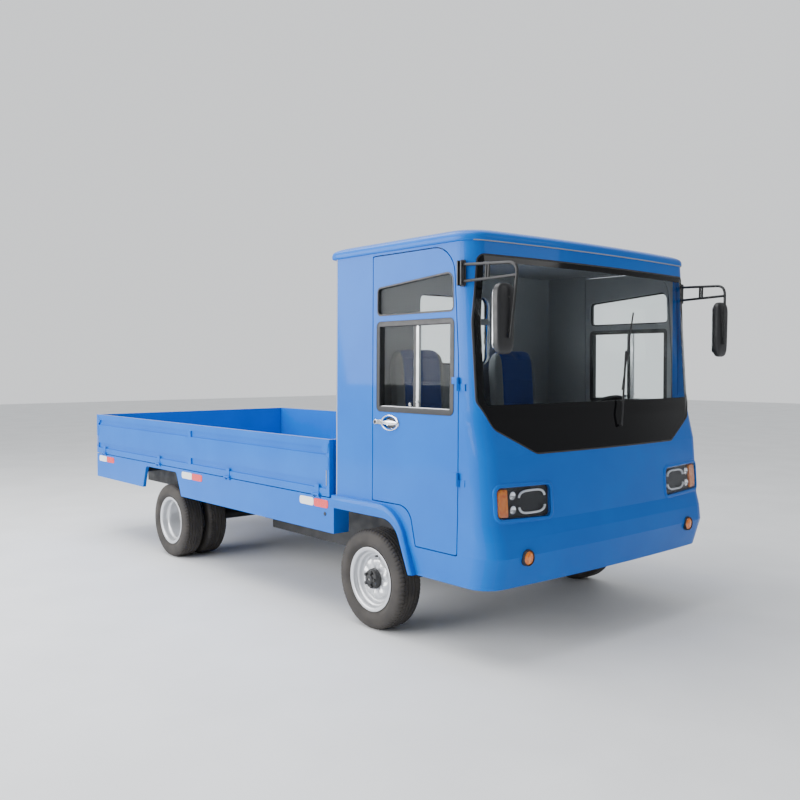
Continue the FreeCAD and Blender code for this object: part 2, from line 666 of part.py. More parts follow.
def ladder_frame():
    """Two channel rails, cross members, and a hanger with a pin at each spring eye."""
    axle, wheelbase = num("front_axle_x"), num("wheelbase")
    top, height, width, wall = (num("rail_" + n) for n in ("top", "height", "width", "wall"))
    y, rear, front = num("rail_y"), num("rail_rear"), num("rail_front")
    low = top - height
    rail = slab(-rear, front, y - width / 2, y + width / 2, low, top)
    rail = rail.cut(slab(-rear - 1, front + 1, y - width / 2 - 1, y + width / 2 - wall, low + wall, top - wall))
    cheek = 6.0
    gap = num("running_gap")
    half = num("spring_width") / 2 + gap
    eye, eye_z = num("eye_radius"), eye_height()
    for x in (0, -wheelbase):
        for end in (-num("spring_reach"), num("spring_reach")):
            for low_y in (y - half - cheek, y + half):
                rail = rail.fuse(slab(x + end - eye, x + end + eye, low_y, low_y + cheek, eye_z - eye, low + 40))
            pin = Part.makeCylinder(num("eye_pin_radius"), 2 * (half + cheek),
                                    Vector(axle + x + end, y - half - cheek, eye_z), Vector(0, 1, 0))
            rail = rail.fuse(pin)
    shape = rail.fuse(rail.mirror(Vector(0, 0, 0), Vector(0, 1, 0)))
    for x in CROSS_MEMBERS:
        shape = shape.fuse(slab(x - 30, x + 30, -y + width / 2 - wall, y - width / 2 + wall, low + wall, top - wall))
    return shape.removeSplitter()


def tow_lug():
    """Two plates on a foot under the last cross member, bored for a pin."""
    axle, reach = num("front_axle_x"), num("tow_gap / 2 + tow_cheek")
    x, z, eye, bore = -num("tow_x"), num("tow_z"), num("tow_eye"), num("tow_pin_radius")
    seat = num("rail_top - rail_height + rail_wall")
    front = CROSS_MEMBERS[0] + 30
    plate = side_prism([(x - eye, z - eye, eye * 0.8), (x + eye, z - eye, eye * 0.8), (front, seat - 30, 10),
                        (front, seat, 0), (x, seat, 0), (x - eye, z + eye * 0.6, eye * 0.5)], -reach, reach)
    plate = plate.cut(slab(x - eye - 1, x + eye + 6, -num("tow_gap / 2"), num("tow_gap / 2"), z - eye - 1, seat - 12))
    hole = Part.makeCylinder(bore, 2 * reach, Vector(axle + x, -reach, z), Vector(0, 1, 0))
    return plate.cut(hole)


keep(front_axle())
keep(drive_axle())
keep(knuckle("left"))
keep(knuckle("right"))
keep(tie_rod())
axle_x = num("front_axle_x")
keep(group("leaf_springs", *[solid("leaf_spring_%d" % n, shape) for n, shape in enumerate(
    leaf_springs(axle_x) + leaf_springs(axle_x - num("wheelbase")))]))
keep(solid("chassis_frame", ladder_frame().multiFuse([tow_lug()] + sills()).removeSplitter()))
keep(box("battery_box", ahead("battery_rear - wheelbase"), "-(rail_y - rail_width / 2 - running_gap)",
         "rail_top - battery_height", "wheelbase - battery_front - battery_rear",
         "2 * (rail_y - rail_width / 2 - running_gap)", "battery_height"))


# Bed

def bed_floor():
    """Load floor, with a step along its front edge where the headboard's foot stands."""
    edge = num("bed_half_width - board_thickness - moving_gap")
    rear, front = floor_ends()
    top = num("floor_top")
    step = -num("bed_front + board_thickness + running_gap")
    shape = slab(rear, front, -edge, edge, top - num("floor_thickness"), top)
    return shape.cut(slab(step, front + 1, -edge - 1, edge + 1, top - num("headboard_rebate"), top + 1))


def bed_bearers():
    """Cross bearers whose ends carry the skirts."""
    edge = num("bed_half_width - board_thickness - moving_gap")
    skirt = num("bed_half_width - skirt_thickness")
    high = num("floor_top - floor_thickness")
    low = high - num("bearer_height")
    shoulder, half = num("skirt_top - bearer_shoulder"), num("bearer_width") / 2
    section = [(-skirt, low, 0), (skirt, low, 0), (skirt, shoulder, 0), (edge, high, 0),
               (-edge, high, 0), (-skirt, shoulder, 0)]
    return [front_prism(section, x - half, x + half) for x in BEARERS]


def skirt_panels():
    """Side skirts with wheel cut-outs, a return at the front and the rear panel."""
    outer, thick = num("bed_half_width"), num("skirt_thickness")
    low, top = num("skirt_bottom"), num("skirt_top")
    rear, front = -num("bed_rear"), -num("skirt_front")
    wheel = -num("wheelbase")
    high, corner, below = num("opening_top"), num("opening_corner"), low - 30
    opening = side_prism([(wheel - num("opening_rear"), below, 0), (wheel - num("opening_rear_top"), high, corner),
                          (wheel + num("opening_front_top"), high, corner),
                          (wheel + num("opening_front"), below, 0)], outer - thick - 1, outer + 1)
    side = slab(rear, front, outer - thick, outer, low, top).cut(opening)
    side = side.fuse(slab(front - thick, front, outer - 110, outer - thick, low, top))
    behind_cab = -num("cab_rear + running_gap")
    under_wall = num("platform_top - cab_floor_thickness - running_gap")
    side = side.cut(slab(behind_cab, front + 1, outer - 111, outer + 1, under_wall, top + 1))
    shape = side.fuse(side.mirror(Vector(0, 0, 0), Vector(0, 1, 0)))
    back = slab(rear, rear + thick, -outer + thick, outer - thick, low, top)
    for s in (-1, 1):
        y = s * num("bed_half_width - rear_lamp_inset")
        w, h = num("rear_lamp_width") / 2, num("rear_lamp_height") / 2
        back = back.cut(slab(rear - 1, rear + thick + 1, y - w, y + w, num("rear_lamp_z") - h,
                             num("rear_lamp_z") + h))
    shape = shape.fuse(back)
    for x_list, make in ((BOARD_HINGES, board_ears), (TAILGATE_HINGES, tailgate_ears)):
        for place_along in x_list:
            for piece in make(place_along):
                shape = shape.fuse(piece)
    return shape.removeSplitter()


def hinge_ears(along, out, across):
    """Two ears with a pin between them on a foot. along is the pin's axis, out points
    away from the bed, across is the middle of the pin."""
    half = num("knuckle_length") / 2 + num("running_gap") * 3
    cheek, pin = num("cheek_width"), num("hinge_pin_radius")
    radius = num("knuckle_radius")
    pieces = []
    for low in (-half - cheek, half):
        base = across + along * low
        pieces.append(Part.makeCylinder(radius, cheek, base, along))
        foot = num("board_bottom + hinge_rise - reflector_top") - 2
        corner = base - out * (num("hinge_out"))
        tall = Vector(0, 0, -foot)
        face = Part.Face(Part.makePolygon([base + out * radius * 0.9, base - out * radius, corner + tall * 0.3,
                                           corner + tall, base + out * radius * 0.9 + tall * 0.3,
                                           base + out * radius * 0.9]))
        pieces.append(face.extrude(along * cheek))
    pieces.append(Part.makeCylinder(pin, 2 * (half + cheek), across - along * (half + cheek), along))
    return pieces


def board_ears(x):
    """Hinge ears of one side board hinge, on both sides."""
    line = Vector(num("front_axle_x") + x, num("bed_half_width + hinge_out"), num("board_bottom + hinge_rise"))
    left = hinge_ears(Vector(1, 0, 0), Vector(0, 1, 0), line)
    return left + [piece.mirror(Vector(0, 0, 0), Vector(0, 1, 0)) for piece in left]


def tailgate_ears(y):
    """Hinge ears of one tailgate hinge."""
    line = Vector(num("front_axle_x - bed_rear - hinge_out"), y, num("board_bottom + hinge_rise"))
    return hinge_ears(Vector(0, 1, 0), Vector(-1, 0, 0), line)


def panel(length, rib_places):
    """A board lying along X from 0, outer face at Y 0, body towards -Y, Z from 0:
    rails, sunk channels and ribs on its outer face."""
    height = num("board_top - board_bottom")
    thick, deep = num("board_thickness"), num("channel_depth")
    shape = Part.makeBox(length, thick, height, Vector(0, -thick, 0))
    rail, channel, end = num("board_rail"), num("channel_height"), num("board_end")
    half = num("middle_rib") / 2
    stops = [end] + [stop for x in rib_places for stop in (x - half, x + half)] + [length - end]
    for x_low, x_high in zip(stops[::2], stops[1::2]):
        for z in (rail, height - rail - channel):
            shape = shape.cut(Part.makeBox(x_high - x_low, deep + 1, channel, Vector(x_low, -deep, z)))
    return shape


def board_knuckle(x):
    """Knuckle and strap of one hinge on a panel, in the panel's own place."""
    out, rise, radius = num("hinge_out"), num("hinge_rise"), num("knuckle_radius")
    length, bore = num("knuckle_length"), num("hinge_pin_radius + running_gap")
    base = Vector(x - length / 2, out, rise)
    tube = Part.makeCylinder(radius, length, base, Vector(1, 0, 0))
    tube = tube.fuse(Part.makeBox(length, out, radius, Vector(x - length / 2, 0, rise)))
    tube = tube.fuse(Part.makeBox(length, 4, 58, Vector(x - length / 2, 0, rise)))
    return tube.cut(Part.makeCylinder(bore, length, base, Vector(1, 0, 0)))


def side_board(side):
    """Side board with four hinge knuckles."""
    length = num("bed_rear - bed_front")
    rear = num("front_axle_x - bed_rear")
    shape = panel(length, [length / 2])
    for x in BOARD_HINGES:
        shape = shape.fuse(board_knuckle(x + num("bed_rear")))
    shape = shape.removeSplitter()
    shape.translate(Vector(rear, num("bed_half_width"), num("board_bottom")))
    if side == "right":
        shape = shape.mirror(Vector(0, 0, 0), Vector(0, 1, 0))
    return solid("side_board_" + side, shape)


def cross_board(label, x_outer, out):
    """Tailgate or headboard between the side boards. out is 1 if its outer face looks
    forward and -1 if it looks rearward."""
    half = num("bed_half_width - board_thickness - moving_gap")
    shape = panel(2 * half, [half])
    if label == "tailgate":
        for y in TAILGATE_HINGES:
            shape = shape.fuse(board_knuckle(y + half))
    shape = shape.removeSplitter()
    shape.rotate(Vector(0, 0, 0), Vector(0, 0, 1), -90 * out)
    shape.translate(Vector(x_outer, half * out, num("board_bottom")))
    return shape


def headboard():
    """Fixed board at the front of the bed, seated on the load floor."""
    shape = cross_board("headboard", num("front_axle_x - bed_front"), 1)
    foot = num("floor_top - headboard_rebate")
    reach = num("bed_half_width")
    return shape.cut(slab(-num("bed_rear"), 0, -reach, reach, 0, foot))


keep(solid("bed_floor", bed_floor()))
keep(group("bed_bearers", *[solid("bearer_%d" % n, s) for n, s in enumerate(bed_bearers())]))
keep(solid("skirt_panels", skirt_panels()))
keep(side_board("left"))
keep(side_board("right"))
keep(solid("tailgate", cross_board("tailgate", num("front_axle_x - bed_rear"), -1)))
keep(solid("headboard", headboard()))

rear_lamps = []
for s in ("", "-"):
    rear_lamps.append(box("rear_lamp", ahead("-bed_rear - 2"),
                          s + "(bed_half_width - rear_lamp_inset) - rear_lamp_width / 2 + running_gap",
                          "rear_lamp_z - rear_lamp_height / 2 + running_gap", "skirt_thickness + 8",
                          "rear_lamp_width - 2 * running_gap", "rear_lamp_height - 2 * running_gap"))
keep(group("rear_lamps", *rear_lamps))

reflectors = []
for low, high in REFLECTORS:
    for s in ("bed_half_width", "-bed_half_width - reflector_thickness"):
        reflectors.append(box("reflector", ahead(low), s, "reflector_top - reflector_height", str(high - low),
                              "reflector_thickness", "reflector_height"))
keep(group("side_reflectors", *reflectors))


# Cab shell

def level_values(level, inset):
    """Plan sizes of a skin level moved inward by inset."""
    height, front, half, corner, sweep = (num(level + "_" + c) for c in LEVEL_COLUMNS)
    return height, front - inset, half - inset, max(corner - inset, 8), sweep - inset


def plan_wire(height, front, half, corner, sweep, rear, rear_corner):
    """Closed plan of the cab: swept front arc, round corners, straight sides and back."""
    axle = num("front_axle_x")
    cy = half - corner
    cx = front - sweep + math.sqrt((sweep - corner) ** 2 - cy ** 2)
    lean = math.atan2(cy, cx - (front - sweep))

    def at(x, y):
        return Vector(axle + x, y, height)

    tangent = (front - sweep + sweep * math.cos(lean), sweep * math.sin(lean))
    turn = (lean + math.pi / 2) / 2
    middle = (cx + corner * math.cos(turn), cy + corner * math.sin(turn))
    back = (rear + rear_corner * (1 - math.sqrt(0.5)), half - rear_corner * (1 - math.sqrt(0.5)))
    edges = [Part.Arc(at(tangent[0], -tangent[1]), at(front, 0), at(*tangent)).toShape(),
             Part.Arc(at(*tangent), at(*middle), at(cx, half)).toShape(),
             Part.LineSegment(at(cx, half), at(rear + rear_corner, half)).toShape(),
             Part.Arc(at(rear + rear_corner, half), at(*back), at(rear, half - rear_corner)).toShape(),
             Part.LineSegment(at(rear, half - rear_corner), at(rear, -half + rear_corner)).toShape(),
             Part.Arc(at(rear, -half + rear_corner), at(back[0], -back[1]), at(rear + rear_corner, -half)).toShape(),
             Part.LineSegment(at(rear + rear_corner, -half), at(cx, -half)).toShape(),
             Part.Arc(at(cx, -half), at(middle[0], -middle[1]), at(tangent[0], -tangent[1])).toShape()]
    return Part.Wire(edges)


def cab_volume(inset, extend=0):
    """The cab's outer form moved inward, as one solid. extend moves the bottom and top
    levels out, for cutters."""
    wires = []
    last = len(CAB_LEVELS) - 1
    for number, level in enumerate(CAB_LEVELS):
        values = list(level_values(level[0], inset))
        values[0] += extend * ((number == last) - (number == 0))
        rear = -num("cab_rear") + inset
        wires.append(plan_wire(*values, rear, max(num("rear_corner") - inset, 6)))
    return Part.makeLoft(wires, True, True)


def door_corners(grow):
    """Door outline. Its lower rear passes over the wheel arch flare."""
    g = grow
    return [(num("door_rear") - g, num("door_top") + g, 12),
            (num("door_top_front") + g, num("door_top") + g, num("door_corner") + g),
            (num("cab_split") - 6 + g, 1500, 800),
            (num("cab_split") - 6 + g, num("door_bottom") - g, 14),
            (num("door_foot") - g, num("door_bottom") - g, 10),
            (num("door_bend") - g, num("door_step") - g, 110),
            (num("door_rear") - g, num("door_step") - g, 10)]


def arch_corners(band, foot, corner):
    """Wheel arch outline: level top, round front corner, line down to the foot."""
    low = num("valance_height")
    slope = (num("arch_foot") - num("arch_front")) / (num("arch_top") - low)
    run = 60
    return [(-num("cab_rear") - 1, num("arch_top") + band, 0),
            (num("arch_front") + foot * 0.8, num("arch_top") + band, corner),
            (num("arch_foot") + foot, low, 0),
            (num("arch_foot") + foot + slope * run, low - run, 0),
            (-num("cab_rear") - 1, low - run, 0)]


def window_corners(which, grow=0):
    """Outline of a door window."""
    rear, front = num("window_rear") - grow, num("window_front") + grow
    corner = num("window_corner") + grow
    if which == "lower":
        low, high = num("lower_window_bottom") - grow, num("lower_window_top") + grow
        return [(rear, low, corner), (front, low, corner), (front, high, corner), (rear, high, corner)]
    low = num("upper_window_bottom") - grow
    return [(rear, low, corner), (front, low, corner),
            (front - 8, num("upper_window_front_top") + grow, corner * 1.6),
            (rear, num("upper_window_rear_top") + grow, corner)]


def screen_corners(grow=0):
    """Windscreen opening with the dark panel under it, seen from the front."""
    half = [(y + grow, z + (grow if z > 1500 else -grow), radius) for y, z, radius in WINDSCREEN]
    return half + [(-y, z, radius) for y, z, radius in reversed(half)]


def lamp_corners(s, grow=0):
    """Headlamp outline seen from the front."""
    inner, outer = s * (num("lamp_inner") - grow), s * (num("lamp_outer") + grow)
    low, high, corner = num("lamp_bottom") - grow, num("lamp_top") + grow, num("lamp_corner") + grow
    return [(inner, low, corner), (outer, low + 14, corner), (outer, high, corner), (inner, high - 8, corner)]


outer_form = cab_volume(0)
inner_form = cab_volume(num("cab_wall"), 20)
cab_shell = outer_form.cut(inner_form)
wall = num("cab_wall")
half_widths = [num(level[0] + "_half_width") for level in CAB_LEVELS]
side_in = min(half_widths) - 4 * wall
side_out = max(half_widths) + num("flare_out") + 2 * wall
nose_out = num("bumper_front") + 200
split = num("cab_split")
gap = num("moving_gap")
door_zone = side_prism(door_corners(gap), side_in, side_out)
arch_zone = side_prism(arch_corners(0, 0, num("arch_corner")), side_in, side_out)


def cab_rear_wall():
    """Back wall with its window, down to the platform."""
    low = num("platform_top - cab_floor_thickness")
    rear = -num("cab_rear")
    shape = cab_shell.common(slab(rear - 1, rear + wall, -side_out, side_out, low, num("header_height") + 1))
    shape = shape.cut(front_prism(back_window(0), rear - wall, rear + 2 * wall))
    return shape.removeSplitter()


def back_window(grow):
    """Outline of the back window seen from the front."""
    half, corner = num("rear_window_half") + grow, num("rear_window_corner") + grow
    low, high = num("rear_window_bottom") - grow, num("rear_window_top") + grow
    return [(-half, low, corner), (half, low, corner), (half, high, corner), (-half, high, corner)]


rear_wall = cab_rear_wall()


def cab_side(side):
    """Side wall round the door, with the flare over the front wheel."""
    low, high = num("valance_height") - 1, num("header_height") + 1
    rear = -num("cab_rear") + wall
    shape = cab_shell.common(slab(rear, split, side_in, side_out, low, high))
    flare = side_prism(arch_corners(num("flare_band"), num("flare_foot"), num("flare_corner")),
                       num("bumper_half_width") - wall + 12, num("bumper_half_width") + num("flare_out"))
    flare = flare.common(slab(-num("skirt_front - running_gap"), split, side_in, side_out, low + 1, high))
    flare = flare.cut(inner_form).cut(rear_wall)
    shape = shape.fuse(flare).cut(door_zone.cut(flare)).cut(arch_zone)
    shape = shape.removeSplitter()
    if side == "right":
        shape = shape.mirror(Vector(0, 0, 0), Vector(0, 1, 0))
    return solid("cab_side_" + side, shape)


def hinge_line():
    """Y of the door hinges' axis."""
    return num("waist_half_width + door_hinge_out")


def door_hinge_half(z, toward, low, hole):
    """Half a door hinge: a knuckle and the leaf that it stands on. toward is 1 for the
    half on the screen pillar and -1 for the half on the door."""
    axle, line, r = num("front_axle_x"), hinge_line(), num("door_hinge_radius")
    half, skin = num("door_hinge_half"), num("waist_half_width")
    pin = num("hinge_pin_radius")
    high = low + half - num("running_gap")
    reach = sorted((split + toward * 2, split + toward * 46))
    leaf = slab(*reach, skin - 6, skin + 4, z + low, z + high)
    reach = sorted((split - toward * 0, split + toward * 12))
    leaf = leaf.fuse(slab(*reach, skin - 2 if toward > 0 else skin, line, z + low, z + high))
    leaf = leaf.fuse(Part.makeCylinder(r, high - low, Vector(axle + split, line, z + low)))
    bore = Part.makeCylinder(pin + (num("running_gap") if hole else 0), 2 * half,
                             Vector(axle + split, line, z - half))
    return leaf.cut(bore) if hole else leaf.fuse(bore)


def oval(x, z, half, rise, y_low, y_high):
    """An oval disc along Y. Its outline is four arcs through points of an ellipse."""
    axle, turn = num("front_axle_x"), math.radians(40)
    a, b = half * math.cos(turn), rise * math.sin(turn)
    points = [Vector(axle + x + u, y_low, z + w) for u, w in (
        (-a, -b), (-half, 0), (-a, b), (0, rise), (a, b), (half, 0), (a, -b), (0, -rise), (-a, -b))]
    arcs = [Part.Arc(*points[i:i + 3]).toShape() for i in range(0, 8, 2)]
    return Part.Face(Part.Wire(arcs)).extrude(Vector(0, y_high - y_low, 0))


def with_handle(leaf):
    """A door leaf with the handle's cup, the grip across it and the lock behind it."""
    x, z, half, rise = (num("handle_" + n) for n in ("x", "z", "half", "rise"))
    skin, rim, key, key_radius = (num(n) for n in ("waist_half_width", "handle_rim", "key_x", "key_radius"))
    top, depth = skin + num("handle_proud"), skin - num("handle_bowl")
    plate = oval(x, z, half, rise, skin - 4, top)
    neck = slab(key, x - half + rim, skin - 4, top - 2, z - rim, z + rim)
    lock = oval(key, z, key_radius, key_radius, skin - 4, top)
    leaf = leaf.multiFuse([plate, neck, lock]).cut(oval(x, z, half - rim, rise - rim, depth, top + 1))
    return leaf.fuse(slab(x - half + rim / 2, x + half - rim / 2, depth - 2, top - 2, z - rim, z + rim))


def door(side):
    """Door leaf with two windows, its handle and the hinge knuckles on its front edge."""
    outline = side_prism(door_corners(0), side_in, side_out)
    for which in ("lower", "upper"):
        outline = outline.cut(side_prism(window_corners(which), side_in, side_out))
    leaf = cab_shell.common(outline)
    leaf = with_handle(leaf)
    for z in (num("door_hinge_low"), num("door_hinge_high")):
        leaf = leaf.fuse(door_hinge_half(z, -1, 0, True))
    if side == "right":
        leaf = leaf.mirror(Vector(0, 0, 0), Vector(0, 1, 0))
    return solid("door_" + side, leaf)


def door_glass(side):
    """The two panes of a door."""
    middle = wall / 2
    half = num("glass_thickness") / 2
    pane_shell = cab_volume(middle - half).cut(cab_volume(middle + half, 20))
    panes = []
    for number, which in enumerate(("lower", "upper")):
        pane = pane_shell.common(side_prism(window_corners(which, -num("glass_gap")), side_in, side_out))
        if side == "right":
            pane = pane.mirror(Vector(0, 0, 0), Vector(0, 1, 0))
        panes.append(solid("pane_%s_%d" % (side, number), pane))
    return group("door_glass_" + side, *panes)


def cab_front():
    """Nose, bumper and screen pillars, open for the screen, the lamps and the markers."""
    shape = cab_shell.common(slab(split, nose_out, -side_out, side_out, num("valance_height") - 1,
                                  num("header_height") + 1))
    shape = shape.cut(front_prism(screen_corners(), split + wall, nose_out))
    for s in (-1, 1):
        shape = shape.cut(front_prism(lamp_corners(s), split + wall, nose_out))
        behind = Vector(num("front_axle_x + bumper_front") - 4 * wall, s * num("marker_y"), num("marker_z"))
        marker = Part.makeCylinder(num("marker_radius + running_gap"), 6 * wall, behind, Vector(1, 0, 0))
        shape = shape.cut(marker)
    for z in (num("door_hinge_low"), num("door_hinge_high")):
        hinge = door_hinge_half(z, 1, -num("door_hinge_half"), False)
        shape = shape.fuse(hinge).fuse(hinge.mirror(Vector(0, 0, 0), Vector(0, 1, 0)))
    return shape.removeSplitter()


def screen_piece(z_low, z_high, outer, inner):
    """A curved plate in the screen opening between two insets of the skin."""
    plate = cab_volume(outer).cut(cab_volume(inner, 20))
    plate = plate.common(front_prism(screen_corners(-num("glass_gap")), split + wall, nose_out))
    return plate.common(slab(split, nose_out, -side_out, side_out, z_low, z_high))


def front_lamps():
    """Headlamp units and round markers let into the front."""
    solids = []
    skin = cab_volume(2).cut(cab_volume(wall - 1, 20))
    for s in (-1, 1):
        solids.append(skin.common(front_prism(lamp_corners(s, -num("glass_gap")), split + wall, nose_out)))
        front = skin_x(num("marker_y"), num("marker_z")) + num("marker_proud")
        deep = num("marker_proud") + wall / 2
        solids.append(Part.makeCylinder(num("marker_radius"), deep,
                                        Vector(num("front_axle_x") + front - deep, s * num("marker_y"),
                                               num("marker_z")), Vector(1, 0, 0)))
    return solids


def skin_x(y, z):
    """X of the cab's front skin at a height, from the front axle."""
    heights = [num(level[0] + "_height") for level in CAB_LEVELS]
    number = max(i for i in range(len(heights) - 1) if heights[i] <= z)
    share = (z - heights[number]) / (heights[number + 1] - heights[number])
    low, high = (CAB_LEVELS[number + i][0] for i in (0, 1))
    front = num(low + "_front") * (1 - share) + num(high + "_front") * share
    sweep = num(low + "_sweep") * (1 - share) + num(high + "_sweep") * share
    return front - sweep + math.sqrt(sweep ** 2 - y ** 2)


def roof():
    """Shallow dome with a lip all round, hollow underneath."""
    lip, over, rise = num("roof_lip"), num("roof_overhang"), num("roof_rise")
    header, front, half, corner, sweep = level_values("header", 0)
    rear = -num("cab_rear") - over

    def dome(inset, thick):
        sections = ((0, -lip), (0.38, -lip), (0.68, 22), (0.88, 95), (1.0, 260))
        wires = []
        for share, step in sections:
            move = step + inset
            wires.append(plan_wire(header + share * rise - thick, front - move, half - move,
                                   max(corner - move * 0.3, 30), sweep, rear + (move + lip), 60))
        return Part.makeLoft(wires, True, True)

    thick = num("roof_thickness")
    return dome(0, 0).cut(dome(thick, thick))


def cab_floor():
    """Stepped floor: platform over the wheels, riser and footwell, and the seat box."""
    thick = num("cab_floor_thickness")
    platform, footwell = num("platform_top"), num("footwell_top")
    front, back = num("platform_front"), num("footwell_rear")
    rear = -num("cab_rear") + wall
    outline = [(rear, platform, 0), (front, platform, 20), (back, footwell, 20), (1000, footwell, 0),
               (1000, footwell - thick, 0), (back - thick, footwell - thick, 20),
               (front - thick, platform - thick, 20), (rear, platform - thick, 0)]
    shape = side_prism(outline, -side_out, side_out).common(inner_form)
    box_high, y, half = num("seat_base_top"), num("seat_y"), num("seat_width") / 2
    base = [(num("cushion_rear") + 20, platform, 0), (num("cushion_front") - 60, platform, 0),
            (num("cushion_front") - 30, box_high, 0), (num("cushion_rear"), box_high, 0)]
    for s in (-1, 1):
        low, high = sorted((s * (y - half + 30), s * (y + half - 30)))
        shape = shape.fuse(side_prism(base, low, high))
    return shape.removeSplitter()


def seat(s):
    """Plain cushion and leaning back of one seat."""
    y, half = num("seat_y"), num("seat_width") / 2
    low, high = num("seat_base_top"), num("seat_base_top + cushion_thickness")
    rear, front = num("cushion_rear"), num("cushion_front")
    lean, back, top = num("back_rake"), num("back_thickness"), num("back_top")
    outline = [(front, low, 20), (front + 10, high - 10, 40), (rear + back + 8, high, 20),
               (rear + back - lean * 0.55, top, 45), (rear - lean * 0.55, top, 45), (rear, low, 20)]
    y_low, y_high = sorted((s * (y - half), s * (y + half)))
    return side_prism(outline, y_low, y_high)


def dashboard():
    """Dash moulding across the cab behind the dark front panel."""
    top, low, depth = num("dash_top"), num("dash_bottom"), num("dash_depth")
    front = num("waist_front")
    outline = [(front - depth - 20, top - 30, 25), (front - depth, low, 30), (front + 100, low - 60, 0),
               (front + 100, top, 0), (front - depth + 30, top, 15)]
    return side_prism(outline, -side_out, side_out).common(cab_volume(wall + 0.3, 20))


def column_axis():
    """Direction of the steering column, from the dash up to the driver."""
    tilt = math.radians(num("column_tilt"))
    return Vector(-math.sin(tilt), 0, math.cos(tilt))


def wheel_centre():
    return Vector(num("front_axle_x + wheel_x"), num("seat_y"), num("wheel_z"))


def steering_column():
    """Shroud and shaft from the footwell to the steering wheel."""
    direction = column_axis()
    centre = wheel_centre()
    drop = (num("wheel_z") - num("footwell_top")) / direction.z + 20
    foot = centre - direction * drop
    shaft = Part.makeCylinder(19, drop - 30, foot, direction)
    shroud = Part.makeCone(52, 40, 260, centre - direction * 300, direction)
    pin = Part.makeCylinder(9, 60, centre - direction * 41, direction)
    floor_cut = slab(-2000, 2000, -2000, 2000, 0, num("footwell_top"))
    return shaft.fuse(shroud).fuse(pin).cut(floor_cut).removeSplitter()


def steering_wheel():
    """Round rim on three spokes and a hub."""
    direction = column_axis()
    centre = wheel_centre()
    ring = Part.makeTorus(num("wheel_rim_radius"), num("wheel_grip_radius"), centre, direction)
    hub = Part.makeCylinder(38, 34, centre - direction * 30, direction)
    across = Vector(0, 1, 0)
    shape = ring.fuse(hub)
    for angle in (0, 120, 240):
        spoke = Part.makeBox(num("wheel_rim_radius"), 26, 10, Vector(0, -13, -5))
        spoke.Placement = FreeCAD.Placement(centre - direction * 4,
                                            FreeCAD.Rotation(Vector(0, 0, 1), direction).multiply(
                                                FreeCAD.Rotation(Vector(0, 0, 1), 90 + angle)))
        shape = shape.fuse(spoke)
    shape = shape.cut(Part.makeCylinder(9 + num("running_gap"), 60, centre - direction * 45, direction))
    return shape.removeSplitter()


def tube(points, radius):
    """Straight runs of round tube with ball joints at the corners."""
    shape = None
    for a, b in zip(points, points[1:]):
        run = Part.makeCylinder(radius, (b - a).Length, a, b - a)
        shape = run if shape is None else shape.fuse(run)
    for point in points[1:-1]:
        shape = shape.fuse(Part.makeSphere(radius, point))
    return shape


def mirror_unit(side):
    """Tube arm from the screen pillar and the upright mirror head on its drop."""
    axle, r = num("front_axle_x"), num("mirror_tube_radius")
    half = num("header_half_width")
    corner = Vector(axle + 1066, 922, 1962)
    drop = Vector(axle + num("mirror_x + mirror_depth / 2") + 4, 950, num("mirror_bottom") + 70)
    upper = Vector(axle + 742, half + 8, 1975)
    lower = Vector(axle + 742, half + 8, 1893)
    join = Vector(axle + 1065, 925, 1900)
    shape = tube([upper, corner, drop], r).fuse(tube([lower, join], r))
    tie_top, tie_low = upper + (corner - upper) * 0.45, lower + (join - lower) * 0.45
    shape = shape.fuse(tube([tie_top, tie_low], r))
    base = Part.makeBox(30, 26, 120, Vector(axle + 722, half - 14, 1874)).cut(outer_form)
    depth, width = num("mirror_depth"), num("mirror_width")
    x, y = axle + num("mirror_x"), num("mirror_y")
    low, high = num("mirror_bottom"), num("mirror_top")
    outline = [(Vector(x + a, y - width / 2, b), c) for a, b, c in (
        (-depth / 2, low, 14), (depth / 2, low, 22), (depth / 2, high, 22), (-depth / 2, high, 14))]
    head = Part.Face(rounded(outline)).extrude(Vector(0, width, 0))
    shape = shape.fuse(head).fuse(base).removeSplitter()
    if side == "right":
        shape = shape.mirror(Vector(0, 0, 0), Vector(0, 1, 0))
    return shape


def wiper():
    """Wiper arm on its spindle, a link and the blade on the screen."""
    axle, radius, out = num("front_axle_x"), num("wiper_radius"), num("wiper_out")
    blade_radius = radius * 0.75

    def on_screen(name, proud):
        y, z = WIPER[name]
        return Vector(axle + skin_x(y, z) + proud, y, z)

    lean = num("waist_front - cowl_front") / num("cowl_height - waist_height")
    spindle = on_screen("pivot", lean * radius - num("glass_sink - glass_gap"))
    arm = tube([spindle, on_screen("pivot", out), on_screen("knee", out)], radius)
    blade = tube([on_screen(name, 4) for name in ("low", "joint", "high")], blade_radius)
    link = tube([on_screen("knee", out), on_screen("joint", 4)], blade_radius)
    return arm.fuse(blade).fuse(link).removeSplitter()


keep(cab_side("left"))
keep(cab_side("right"))
keep(door("left"))
keep(door("right"))
keep(door_glass("left"))
keep(door_glass("right"))
keep(solid("cab_rear_wall", rear_wall))
keep(solid("cab_front", cab_front()))
sink, thick = num("glass_sink"), num("glass_thickness")
band = num("screen_split")
screen = solid("windscreen", screen_piece(band + num("glass_gap"), num("header_height"), sink, sink + thick))
back_x = num("rear_window_sink - cab_rear")
back_pane = solid("back_pane", front_prism(back_window(-num("glass_gap")), back_x, back_x + thick))
keep(group("cab_glass", screen, back_pane))
keep(solid("cowl_panel", screen_piece(num("crease_height"), band, sink, sink + num("panel_thickness"))))
keep(group("front_lamps", *[solid("lamp_%d" % n, s) for n, s in enumerate(front_lamps())]))
keep(solid("cab_roof", roof()))
keep(solid("cab_floor", cab_floor()))
keep(solid("seat_left", seat(1)))
keep(solid("seat_right", seat(-1)))
keep(solid("dashboard", dashboard()))
keep(solid("steering_column", steering_column()))
